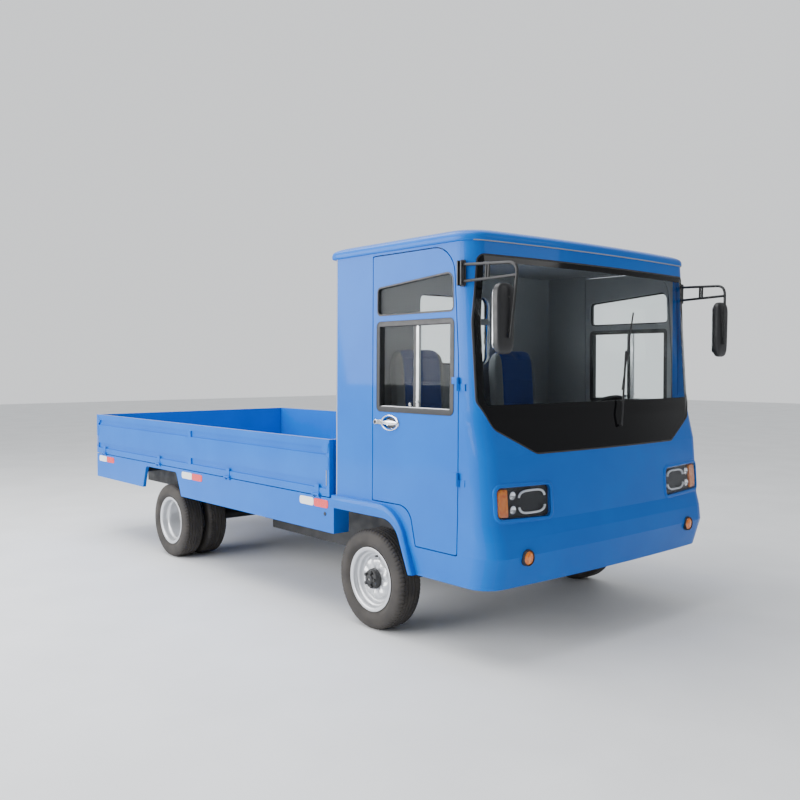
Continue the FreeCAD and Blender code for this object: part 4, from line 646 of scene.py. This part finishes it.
def facing(profile, sign):
    """A profile drawn for the left wheels, turned round for the right ones."""
    return np.array(profile, float) * (sign, 1)


def hub(x, y, sign, radius, reach):
    """A cast hub: skirt, face, a raised cap, and five nuts round it."""
    body = softened([(-0.012, 0.002), (-0.012, radius), (reach - 0.024, radius * 0.96), (reach - 0.014, radius * 0.86),
                     (reach - 0.013, radius * 0.52), (reach - 0.002, radius * 0.47), (reach, radius * 0.36),
                     (reach, 0.002)], 2)
    shapes = [lathe(facing(body, sign), (x, y, wheel_height), turns=60)]
    nut = [(-0.004, 0.001), (-0.004, 0.0105), (0.010, 0.0105), (0.013, 0.007), (0.013, 0.001)]
    for turn in np.arange(5) * 2 * math.pi / 5 + 0.3:
        place = (x + 0.70 * radius * math.sin(turn), y + sign * (reach - 0.014),
                 wheel_height + 0.70 * radius * math.cos(turn))
        shapes.append(lathe(facing(nut, sign), place, turns=6))
    return shapes


for side, sign in (("left", 1), ("right", -1)):
    y = sign * front_y
    disc = lathe(facing(front_section, sign), (front_axle, y, wheel_height), turns=180,
                 wave=lambda angle, radius, s=sign: s * lobes(angle, radius))
    wheel = piece(f"wheel_front_{side}", [disc], rim_paint, f"front_wheel_{side}", edge=50)
    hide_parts(f"front_rim_{side}")
    core = hub(front_axle, y + sign * 0.034, sign, 0.058, 0.046)
    core.append(lathe(facing([(-0.046, 0.001), (-0.046, 0.104), (-0.040, 0.108), (0.020, 0.108), (0.024, 0.100),
                              (0.024, 0.001)], sign), (front_axle, y, wheel_height), turns=60))
    piece(f"hub_front_{side}", core, frame_paint, f"front_wheel_{side}")
    stem = tube([(front_axle + 0.02, y + sign * 0.012, wheel_height + 0.134),
                 (front_axle + 0.02, y + sign * 0.045, wheel_height + 0.130)], 0.0055)
    piece(f"valve_front_{side}", [stem], frame_paint, f"front_wheel_{side}")

# %% Rear wheels
meeting = -twin / 2
rear_section = softened([
    (0.0655, 0.1652), (0.0655, 0.1760), (0.0668, 0.1805), (0.0692, 0.1812), (0.0702, 0.1775),
    (0.0690, 0.1690), (0.0655, 0.1600), (0.0590, 0.1565), (0.0260, 0.1552), (0.0190, 0.1500),
    (0.0150, 0.1430), (0.0060, 0.1400), (meeting + 0.040, 0.1385), (meeting + 0.022, 0.1340),
    (meeting + 0.012, 0.1240), (meeting + 0.013, 0.1080), (meeting + 0.019, 0.0900), (meeting + 0.015, 0.0700),
    (meeting + 0.013, 0.0500), (meeting + 0.002, 0.0500), (meeting + 0.002, 0.1240), (meeting + 0.012, 0.1400),
    (meeting + 0.030, 0.1460), (-0.0550, 0.1540), (-0.0640, 0.1560), (-0.0690, 0.1690), (-0.0702, 0.1775),
    (-0.0692, 0.1812), (-0.0668, 0.1805), (-0.0655, 0.1760), (-0.0655, 0.1652), (0.0, 0.1650)], 1)
for side, sign in (("left", 1), ("right", -1)):
    y = sign * rear_y
    inside = rear_section * (-1, 1) + (2 * meeting, 0)
    rims = [lathe(facing(section, sign), (rear_axle, y, wheel_height), turns=144) for section in (rear_section, inside)]
    wheel = piece(f"wheels_rear_{side}", rims, rim_paint, f"rear_wheels_{side}", edge=50)
    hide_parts(f"rear_rims_{side}")
    core = hub(rear_axle, y + sign * (meeting + 0.012), sign, 0.056, 0.056)
    core.append(lathe(facing([(meeting - 0.148, 0.031), (meeting - 0.148, 0.106), (meeting - 0.140, 0.112),
                              (meeting - 0.014, 0.112), (meeting - 0.002, 0.100), (meeting - 0.002, 0.031)], sign),
                      (rear_axle, y, wheel_height), turns=60))
    piece(f"hub_rear_{side}", core, frame_paint, f"rear_wheels_{side}")

# %% [markdown]
# ## Glass edges
# The windscreen is bonded in, so its edge is printed black to hide the glue, and a soft rubber lip
# closes the gap to the paint. Both are bands carried round the opening and laid on the skin. The
# print is wider along the foot, where the glass meets the dark panel.

# %% Windscreen edge
half_screen = [(0.608, 1.036, 0.06), (0.869, 1.167, 0.06), (0.940, 1.302, 0.06), (0.940, 1.700, 0.4), (0.909, 2.030, 0.04)]
screen = rounded(half_screen + [(-y, z, r) for y, z, r in reversed(half_screen)])
print_band = band(screen, [(-0.002, -0.0062), (-0.002, -0.0034), (-0.034, -0.0034), (-0.034, -0.0062)], on_front, 420)
foot_y = np.linspace(-0.936, 0.936, 120)[:, None]
foot_z = np.array([1.236, 1.236, 1.286, 1.286])[None]
foot_rise = np.array([-0.0062, -0.0034, -0.0034, -0.0062])[None]
foot_band = grid(on_front(foot_y + 0 * foot_z, foot_z + 0 * foot_y, foot_rise + 0 * foot_y), loop_columns=True)
piece("screen_print", [print_band, foot_band], screen_black)
lip = softened([(0.0045, -0.008), (0.0045, 0.0012), (-0.005, 0.0012), (-0.005, -0.008)], 2)
piece("screen_lip", [band(screen, lip, on_front, 420)], plastic)

# %% [markdown]
# Each door has a fixed pane above and a sliding one below. The slider runs in a deep black frame
# with a pale track along its foot, and two uprights stand where its halves pass each other.

# %% Door window frames
window_low = rounded([(0.072, 1.232, 0.028), (0.676, 1.232, 0.028), (0.676, 1.718, 0.028), (0.072, 1.718, 0.028)])
window_high = rounded([(0.072, 1.751, 0.028), (0.676, 1.751, 0.028), (0.668, 1.953, 0.045), (0.072, 1.905, 0.028)])
deep = [(0.003, -0.034), (0.003, 0.0022), (0.001, 0.0032), (-0.024, 0.0032), (-0.027, 0.0005), (-0.027, -0.034)]
slim = [(0.001, -0.022), (0.001, 0.0012), (-0.007, 0.0012), (-0.009, -0.001), (-0.009, -0.022)]
frames = [band(window_low, deep, on_right, 240), band(window_high, slim, on_right, 240)]


def bar(x_low, x_high, z_low, z_high, low, high, place=on_right):
    """A short upright or rail with round corners, as a plate."""
    corner = 0.3 * min(x_high - x_low, z_high - z_low)
    ends = [(x_low, z_low, corner), (x_high, z_low, corner), (x_high, z_high, corner), (x_low, z_high, corner)]
    return plate(rounded(ends, 5), low, high, place, edge=min(0.0015, corner), count=48)


black_bars = [bar(0.366, 0.388, 1.256, 1.694, -0.021, -0.006)]
pale_bars = [bar(0.391, 0.411, 1.256, 1.694, -0.021, -0.004), bar(0.100, 0.650, 1.257, 1.263, -0.018, -0.002)]
knobs = [lathe([(-0.001, 0.001), (-0.001, 0.010), (0.008, 0.010), (0.011, 0.006), (0.011, 0.001)],
               on_right(np.array(x), np.array(z), np.array(-0.008)), (0, -1, 0), 24) for x, z in ((0.402, 1.292), (0.345, 1.276))]
for side, turned in (("right", list), ("left", mirrored)):
    door = f"door_{side}"
    piece(f"window_frames_{side}", turned(frames + black_bars), plastic, door)
    piece(f"window_rails_{side}", turned(pale_bars), rim_paint, door)
    piece(f"window_knobs_{side}", turned(knobs), chrome, door)

# %% [markdown]
# ## Door handle
# The handle is a chromed cup with a grip across its middle, so the fingers go in above and below
# it, and the lock sits behind it on a short neck. Rings of an oval that grow and rise make the cup.

# %% Handles
oval_angle = np.linspace(0, 2 * math.pi, 72, endpoint=False)[:, None]


def cup(x, z, half, rise, profile):
    """An oval section by section: profile gives the share of the oval and its height."""
    share, proud = np.array(profile, float).T
    u, v = x + half * share * np.cos(oval_angle), z + rise * share * np.sin(oval_angle)
    return grid(on_right(u, v, proud + 0 * u), loop_rows=True)


bowl = cup(0.189, 1.172, 0.0745, 0.0445, [(0, -0.0138), (0.45, -0.0135), (0.7, -0.0105), (0.79, -0.001), (0.82, 0.0075),
                                          (0.88, 0.0108), (0.95, 0.0098), (1.0, 0.0055), (1.01, 0.0002), (1.0, -0.016),
                                          (0, -0.016)])
grip = cup(0.189, 1.172, 0.066, 0.0135, [(0, -0.012), (1.0, -0.012), (1.0, 0.004), (0.93, 0.0095), (0.6, 0.0115), (0, 0.0118)])
neck = bar(0.058, 0.125, 1.1600, 1.1840, -0.003, 0.0075)
lock = cup(0.066, 1.172, 0.0150, 0.0150, [(0, -0.003), (1.0, -0.003), (1.0, 0.007), (0.85, 0.0100), (0.62, 0.0100), (0.56, 0.0080), (0, 0.0080)])
slot = bar(0.064, 0.068, 1.164, 1.180, 0.0075, 0.0085)
hollow = [cup(0.189, z, 0.050, 0.0085, [(0, -0.0132), (1, -0.0132), (1, -0.0095), (0.8, -0.0085), (0, -0.0085)]) for z in (1.1935, 1.1505)]
for side, turned in (("right", list), ("left", mirrored)):
    piece(f"handle_{side}", turned([bowl, grip, neck, lock]), chrome, f"door_{side}")
    piece(f"handle_hollow_{side}", turned([slot] + hollow), plastic, f"door_{side}")

# %% [markdown]
# ## Headlamps
# A lamp is a box seen through a clear cover: a dark tray, an amber window at its outer end, two
# bright bowls, and two bent light guides that face each other like brackets. The cover follows the
# skin, and a bezel of body colour rolls round it.

# %% Headlamps and markers
def lamp_outline(sign, grow=0.0):
    """The headlamp's outline on the front, grown by a distance."""
    inner, outer = sign * (0.525 - grow), sign * (0.893 + grow)
    return rounded([(inner, 0.716 - grow, 0.026 + grow), (outer, 0.730 - grow, 0.026 + grow),
                    (outer, 0.884 + grow, 0.026 + grow), (inner, 0.876 + grow, 0.026 + grow)])


def bracket(sign, top):
    """Half of a rounded ring: cosine and sine to the power of a half, held to 75 degrees."""
    angle = np.radians(np.linspace(12, 168, 40) * (1 if top else -1))
    y = sign * 0.650 + 0.092 * np.sign(np.cos(angle)) * np.abs(np.cos(angle)) ** 0.55
    z = 0.800 + 0.056 * np.sign(np.sin(angle)) * np.abs(np.sin(angle)) ** 0.55
    return tube(on_front(y, z, -0.010 + 0 * y), 0.0062, sides=10)


trays, covers, ambers, bowls, guides, bezels, rings, domes = ([] for _ in range(8))
for sign in (-1, 1):
    trays.append(plate(lamp_outline(sign, -0.002), -0.052, -0.020, on_front, count=140))
    covers.append(plate(lamp_outline(sign, -0.001), -0.0045, 0.0015, on_front, edge=0.006, count=140))
    strip = rounded([(sign * 0.818, 0.734, 0.008), (sign * 0.884, 0.738, 0.022), (sign * 0.884, 0.874, 0.022), (sign * 0.818, 0.872, 0.008)])
    ambers.append(plate(strip, -0.020, -0.0075, on_front, edge=0.004))
    for height, size in ((0.838, 0.021), (0.768, 0.021)):
        middle = on_front(np.array(sign * 0.783), np.array(height), np.array(-0.020))
        bowls.append(lathe([(0.000, 0.001), (0.000, size), (0.0095, size), (0.0105, size * 0.93), (0.004, size * 0.6), (0.001, size * 0.3),
                            (0.0010, 0.001)], middle, (1, 0, 0), 36))
    guides += [bracket(sign, True), bracket(sign, False)]
    bezels.append(band(lamp_outline(sign), softened([(0.001, -0.010), (-0.0005, 0.002), (0.004, 0.0062), (0.013, 0.0058), (0.021, 0.001),
                                                    (0.021, -0.010)], 2), on_front, 220))
    middle = on_front(np.array(sign * 0.726), np.array(0.530), np.array(0.0))
    rings.append(lathe(softened([(-0.030, 0.034), (0.010, 0.034), (0.0135, 0.0365), (0.0120, 0.0405), (0.001, 0.0425), (-0.030, 0.0425)], 2),
                       middle, (1, 0, 0), 72))
    domes.append(lathe([(-0.030, 0.0005), (-0.030, 0.0348), (0.006, 0.0348), (0.0105, 0.031), (0.0125, 0.024), (0.0130, 0.0200),
                        (0.0122, 0.0190), (0.0145, 0.0100), (0.0150, 0.0005)], middle, (1, 0, 0), 72))
tray = piece("lamp_trays", trays, plastic)
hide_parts("front_lamps")
piece("lamp_ambers", ambers, amber)
piece("lamp_bowls", bowls, chrome)
piece("lamp_guides", guides, light_guide)
piece("lamp_covers", covers, lamp_cover)
piece("lamp_bezels", bezels, paint)
piece("marker_rings", rings, plastic)
piece("marker_domes", domes, amber)

# %% [markdown]
# ## Mirrors
# Each arm is thin steel tube bent to a triangle, on a small bracket with two upright plates. The
# head is a moulded shell: its section is a rounded box that shrinks towards both ends by the
# seventh power of the height, which keeps the sides nearly straight and the ends round.

# %% Mirrors
def mirror_head(x, y, low, high, depth, width):
    """Rings of a rounded box of powers a half, whose size is (1 - h^7)^(1/3) for a share h of the
    half height. The foot is a tenth narrower than the top."""
    height = np.sin(np.linspace(-math.pi / 2, math.pi / 2, 41))[:, None]
    size = np.clip(1 - np.abs(height) ** 7, 0, 1) ** (1 / 3) * (1 + 0.05 * height)
    angle = np.linspace(0, 2 * math.pi, 56, endpoint=False)[None]
    u = depth / 2 * np.sign(np.cos(angle)) * np.abs(np.cos(angle)) ** 0.5 * size
    v = width / 2 * np.sign(np.sin(angle)) * np.abs(np.sin(angle)) ** 0.5 * size
    z = (low + high) / 2 + (high - low) / 2 * height + 0 * angle
    return grid(np.stack([x + u, y + v, z], axis=-1), loop_columns=True)


def bow(start, corner, end, radius, steps=14):
    """Points from start round a corner to end: the bend is a quadratic curve that starts and stops
    a radius from the corner."""
    start, corner, end = (np.array(p, float) for p in (start, corner, end))
    into, out = (p + (q - p) * max(0, 1 - radius / np.linalg.norm(q - p)) for p, q in ((start, corner), (end, corner)))
    t = np.linspace(0, 1, steps)[:, None]
    curve = into * (1 - t) ** 2 + corner * 2 * t * (1 - t) + out * t ** 2
    return np.concatenate([start[None], curve, end[None]])


pillar = front_axle + 0.742
top_in, top_corner, drop_end = (pillar, -0.972, 1.975), (front_axle + 1.066, -0.930, 1.962), (front_axle + 1.049, -0.962, 1.610)
low_in, low_out = (pillar, -0.972, 1.893), (front_axle + 1.060, -0.934, 1.902)
share = 0.45
tie = [tuple(np.array(a) * (1 - share) + np.array(b) * share) for a, b in ((top_in, top_corner), (low_in, low_out))]
arm = [tube(bow(top_in, top_corner, drop_end, 0.055), 0.0078), tube([low_in, low_out], 0.0078),
       tube([tie[0], tie[1]], 0.0065),
       tube([np.array(tie[0]) + (0.016, 0, 0), np.array(tie[1]) + (0.016, 0, 0)], 0.0065)]
bracket_at = flat_at(-0.960)
arm += [bar(0.716, 0.756, 1.868, 2.000, 0.0, 0.008, bracket_at), bar(0.720, 0.728, 1.872, 1.996, 0.004, 0.030, bracket_at),
        bar(0.744, 0.752, 1.872, 1.996, 0.004, 0.030, bracket_at)]
arm += [tube([(front_axle + 1.046, -0.962, z), (front_axle + 1.020, -0.968, z)], 0.0065) for z in (1.645, 1.80)]
head = [mirror_head(front_axle + 1.015, -0.971, 1.534, 1.867, 0.050, 0.120)]
glass_outline = rounded([(-1.021, 1.556, 0.022), (-0.921, 1.556, 0.022), (-0.921, 1.846, 0.026), (-1.021, 1.846, 0.026)])
mirror_glass = plate(glass_outline, -0.003, 0.0018,
                     lambda y, z, proud: np.stack([front_axle + 0.9905 - proud, y, z], axis=-1), edge=0.0012)
arms = piece("mirror_arms", arm + mirrored(arm), frame_paint)
heads = piece("mirror_heads", head + mirrored(head), plastic)
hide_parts("mirrors")
piece("mirror_glasses", [mirror_glass] + mirrored([mirror_glass]), chrome)

# %% [markdown]
# ## Bed fittings
# Side boards are held up by toggle latches at their ends: a bent lever, its knob and a thin rod.
# The skirts carry strips of reflecting film, white behind and red in front, and a black plug closes
# a hole near each front end.

# %% Reflectors, latches and plugs
board_face, skirt_face = 0.979, 0.979
on_skirt = flat_at(-skirt_face)
white, red = [], []
for rear, ahead in ((-3.829, -3.509), (-2.241, -1.923), (-0.665, -0.369)):
    middle = (rear + ahead) / 2
    white.append(bar(rear, middle - 0.0005, 0.635, 0.685, -0.002, 0.003, on_skirt))
    red.append(bar(middle + 0.0005, ahead, 0.635, 0.685, -0.002, 0.003, on_skirt))
film = piece("reflectors_white", white + mirrored(white), tape)
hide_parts("side_reflectors")
piece("reflectors_red", red + mirrored(red), red_film)
plug = [lathe(softened([(-0.002, 0.001), (-0.002, 0.012), (0.003, 0.012), (0.004, 0.008), (0.0045, 0.001)], 1),
              (front_axle - 0.402, -skirt_face, 0.601), (0, -1, 0), 32)]
piece("skirt_plugs", plug + mirrored(plug), plastic)


def latch(x, toward):
    """A V-shaped lever, a knob under it and a thin rod, on the face of a side board."""
    face = flat_at(-board_face)
    lever = rounded([(x, 1.030, 0.006), (x + toward * 0.030, 1.026, 0.006), (x + toward * 0.075, 0.986, 0.008),
                     (x + toward * 0.030, 0.962, 0.008), (x + toward * 0.006, 0.968, 0.006)], 6)
    body = rounded([(x + toward * 0.004, 0.862, 0.008), (x + toward * 0.040, 0.862, 0.008), (x + toward * 0.040, 0.945, 0.012),
                    (x + toward * 0.004, 0.945, 0.012)], 6)
    return [plate(lever, -0.014, 0.0045, face, edge=0.003), plate(body, -0.024, 0.0030, face, edge=0.003)]


rods = [tube([(front_axle + x, -board_face - 0.0015, 0.862), (front_axle + x, -board_face - 0.0015, 0.772)], 0.0028) for x in (-0.384, -3.860)]
for side, turned in (("right", list), ("left", mirrored)):
    board = f"side_board_{side}"
    piece(f"latches_{side}", turned(latch(-0.362, -1) + latch(-3.880, 1)), paint, board)
    piece(f"latch_rods_{side}", turned(rods), steel, board)

# %% [markdown]
# ## Roof
# The roof is one pressed panel that hangs a little over the walls. A line of (inset, rise) tells
# how its section turns from the upright edge through a quick roll to the flat crown. At each point
# of that line the plan of the walls is drawn smaller by the inset, with a bowed front, and raised.

# %% Roof panel
def roof_plan(inset, count=360):
    """The plan at an inset: a rounded box whose front falls back by the square of Y over 18 m. Its
    corners grow rounder inwards."""
    half, nose, rear = 0.960 - inset, 0.832 - inset, -0.373 + max(inset + 0.012, 0)
    front_corner, rear_corner = 0.113 + 0.35 * max(inset, 0), 0.06 + 0.3 * max(inset, 0)
    outline, _ = even(rounded([(rear, -half, rear_corner), (nose, -half, front_corner), (nose, half, front_corner),
                               (rear, half, rear_corner)], 24), count)
    ahead = np.clip((outline[:, 0] - 0.2) / 0.6, 0, 1)
    return outline - np.stack([ahead * outline[:, 1] ** 2 / 18, 0 * ahead], axis=1)


roof_line = softened([(-0.006, 0.0), (-0.012, 0.004), (-0.0122, 0.026), (-0.004, 0.043), (0.026, 0.058), (0.095, 0.074),
                      (0.240, 0.087), (0.480, 0.0915)], 2, closed=False)
rings = np.stack([np.concatenate([roof_plan(inset), np.full((360, 1), 2.0955 + rise)], axis=1) for inset, rise in roof_line])
crown, foot = rings[-1].mean(axis=0) * (1, 0, 1), np.array([0.25, 0, 2.0955])
shares = np.linspace(1, 0, 8)[1:, None, None]
top = crown + (rings[-1] - crown) * shares
below = foot + (rings[0] - foot) * shares[::-1]
roof_points = np.concatenate([below, rings, top]) + (front_axle, 0, 0)
roof_piece = piece("roof_panel", [grid(roof_points, loop_columns=True)], linings["roof_lined"])
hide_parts("cab_roof")

# %% [markdown]
# ## Wheel arch flares
# The pressed flare over each front wheel is crowned, which gives it a long highlight. Its surface
# runs between two lines, the arch's lip and the flare's outer edge: a share across mixes them, and
# the height over the flare's face is 9 mm times the sine of that share.

# %% Flares
def arch_line(rise, foot, corner, count=90):
    """Evenly spaced points on level top, corner and front leg of an arch, from (x, z, radius)."""
    low, front = 0.381, 0.249 + 0.8 * foot
    lines = rounded([(-0.310, 0.652 + rise, 0.001), (front, 0.652 + rise, corner), (0.363 + foot, low, 0.001),
                     (-0.310, low, 0.001)], 24)[1:-25]
    lines = np.concatenate([lines[lines[:, 1] > low + 0.002], [[0.363 + foot, low]]])
    run = np.concatenate([[0], np.cumsum(np.linalg.norm(np.diff(lines, axis=0), axis=1))])
    at = np.linspace(0, run[-1], count)
    return np.stack([np.interp(at, run, lines[:, 0]), np.interp(at, run, lines[:, 1])], axis=1)


lip_line, edge_line = arch_line(0.0, 0.0, 0.150), arch_line(0.074, 0.034, 0.235)
share = np.concatenate([[0.04], np.linspace(0.03, 0.97, 15), [0.96]])
across = lip_line[:, None] + (edge_line - lip_line)[:, None] * share[None, :, None]
crown = 0.9955 + 0.009 * np.sin(np.linspace(0, math.pi, 15)) ** 0.8
crown = np.concatenate([[0.985], crown, [0.985]])[None] + 0 * across[..., 0]
flare = np.stack([front_axle + across[..., 0], -crown, across[..., 1]], axis=-1)
ends = [np.repeat(flare[i].mean(axis=0)[None, None], flare.shape[1], axis=1) for i in (0, -1)]
flare = grid(np.concatenate([ends[0], flare, ends[1]]), loop_columns=True)
piece("flare_crowns", [flare] + mirrored([flare]), paint)

# %% [markdown]
# ## Rear lamps and back window
# A rear lamp has a dark base and three lenses: amber outside, red in the middle, clear inside. Fine
# ribs run across each lens, so its height is a cosine of the place up it. The back window sits in a
# rubber seal, and a rail crosses it where its upper sash ends.

# %% Rear lamps
def on_tail(y, z, proud):
    """A point on the rear panel, proud to the rear."""
    return np.stack([front_axle - 3.885 - proud, y, z], axis=-1)


def ribbed(y_low, y_high, z_low, z_high):
    """A lens with ribs of 6 mm, half a millimetre high, closed at its top and foot."""
    up = np.linspace(z_low, z_high, 97)[:, None]
    rise = 0.0012 + 0.0005 * np.cos(2 * math.pi * up / 0.006)
    y = np.array([y_low, y_low, y_low + 0.002, y_high - 0.002, y_high, y_high])[None] + 0 * up
    proud = np.concatenate([-0.006 + 0 * rise, rise - 0.001, rise, rise, rise - 0.001, -0.006 + 0 * rise], axis=1)
    shell = on_tail(y, up + 0 * y, proud)
    ends = [np.repeat(shell[i].mean(axis=0)[None, None], shell.shape[1], axis=1) for i in (0, -1)]
    return grid(np.concatenate([ends[0], shell, ends[1]]), loop_columns=True)


lamp_base = [bar(0.7315, 0.9285, 0.5565, 0.6435, -0.010, 0.0004, on_tail)]
base = piece("rear_lamp_bases", lamp_base + mirrored(lamp_base), plastic)
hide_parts("rear_lamps")
for name, low_y, high_y, colour in (("amber", 0.880, 0.924, amber), ("red", 0.792, 0.878, red_lens), ("clear", 0.736, 0.790, light_guide)):
    lens = [ribbed(low_y, high_y, 0.561, 0.639)]
    piece(f"rear_lens_{name}", lens + mirrored(lens), colour)

# %% Back window
def on_back(y, z, proud):
    """A point on the cab's back wall, proud to the rear."""
    return np.stack([front_axle - 0.330 - proud, y, z], axis=-1)


back_window = rounded([(-0.315, 1.487, 0.056), (0.315, 1.487, 0.056), (0.315, 1.937, 0.056), (-0.315, 1.937, 0.056)])
seal = softened([(0.011, -0.003), (0.011, 0.0045), (-0.011, 0.0045), (-0.011, -0.0135)], 2)
piece("back_window_seal", [band(back_window, seal, on_back, 240)], plastic)
piece("back_window_rail", [bar(-0.312, 0.312, 1.752, 1.796, -0.034, -0.020, on_back)], lining)

# %% [markdown]
# ## Seats
# Each seat is two stuffed pads. A pad starts as a block with soft corners, a little too small. The
# block gets an even net of quads, and a cloth simulation blows it up from inside without gravity,
# so its faces crown and its sides pull in between the corners, as stuffed cloth does. No point may
# move over 14 mm. The foot is flat where it rests on the box. Seams are pressed in afterwards.

# %% Pads
seat_y, seat_box_top = 0.430, 0.870


def pad_block(x, y, z, half_x, half_y, half_z, lean):
    """Rings of a rounded box of power a quarter, whose size is (1 - h^6)^(1/5) for a share h of the
    half height. The block leans back by so much for each unit up."""
    height = np.sin(np.linspace(-math.pi / 2, math.pi / 2, 41))[:, None]
    size = np.clip(1 - np.abs(height) ** 6, 0, 1) ** (1 / 5)
    angle = np.linspace(0, 2 * math.pi, 80, endpoint=False)[None]
    u = half_x * np.sign(np.cos(angle)) * np.abs(np.cos(angle)) ** 0.25 * size
    v = half_y * np.sign(np.sin(angle)) * np.abs(np.sin(angle)) ** 0.25 * size
    up = half_z * height + 0 * angle
    return grid(np.stack([front_axle + x + u - lean * up, y + v, z + up], axis=-1), loop_columns=True)


def baked(obj):
    """Gives an object the mesh that its modifiers make, and takes them off."""
    view = bpy.context.evaluated_depsgraph_get()
    mesh = bpy.data.meshes.new_from_object(obj.evaluated_get(view))
    obj.modifiers.clear()
    obj.data = mesh


def places(mesh):
    """The points of a mesh as an array."""
    flat = np.empty(len(mesh.vertices) * 3)
    mesh.vertices.foreach_get("co", flat)
    return flat.reshape(-1, 3)


def put(mesh, points):
    """Writes an array back as the points of a mesh."""
    mesh.vertices.foreach_set("co", np.asarray(points, float).reshape(-1))
    mesh.update()


def stuffed(obj, most=0.014, frames=20):
    """Blows an object up as cloth under pressure, and holds every point within a distance."""
    net = obj.modifiers.new("net", "REMESH")
    net.mode = "VOXEL"
    net.voxel_size = 0.008
    baked(obj)
    start = places(obj.data)
    blow = obj.modifiers.new("blow", "CLOTH")
    blow.settings.use_pressure = True
    blow.settings.uniform_pressure_force = 4
    blow.settings.effector_weights.gravity = 0
    blow.point_cache.frame_start, blow.point_cache.frame_end = 1, frames
    for number in range(1, frames + 1):
        scene.frame_set(number)
    baked(obj)
    scene.frame_set(1)
    step = places(obj.data) - start
    reach = np.linalg.norm(step, axis=1, keepdims=True)
    put(obj.data, start + step * np.minimum(1, most / np.maximum(reach, 1e-9)))
    smooth = obj.modifiers.new("smooth", "SUBSURF")
    smooth.levels = smooth.render_levels = 1
    baked(obj)
    obj.data.shade_smooth()


def sewn(obj, y):
    """Presses seams in: 5 mm deep where a point is on a line between the centre and the bolsters,
    or on a cross line, and fading with the square of its distance. The foot is held flat."""
    points = places(obj.data)
    across = np.abs(points[:, 1] - y)
    on_back = points[:, 2] > 1.0
    lines = np.where(on_back, np.abs(np.mod(points[:, 2] - 1.02, 0.145) - 0.0725), 0.0725 - 0.0 * across)
    lines = np.where(on_back, lines, np.abs(np.mod(points[:, 0] - front_axle + 0.02, 0.120) - 0.060))
    seam = np.exp(-((across - 0.148) / 0.006) ** 2)
    cross = np.exp(-(lines / 0.007) ** 2) * (across < 0.148)
    normal = np.empty(len(points) * 3)
    obj.data.vertices.foreach_get("normal", normal)
    points = points - normal.reshape(-1, 3) * (0.005 * np.maximum(seam, 0.8 * cross))[:, None]
    points[:, 2] = np.maximum(points[:, 2], seat_box_top + 0.0005)
    put(obj.data, points)


for side, y in (("left", seat_y), ("right", -seat_y)):
    pads = [pad_block(0.108, y, 0.930, 0.186, 0.214, 0.050, 0.0),
            pad_block(-0.176, y, 1.240, 0.037, 0.214, 0.352, 0.075)]
    seat = piece(f"seat_pads_{side}", pads, cloth)
    stuffed(seat)
    sewn(seat, y)
    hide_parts(f"seat_{side}")
    print(f"seat_pads_{side}: {len(seat.data.polygons)} faces")
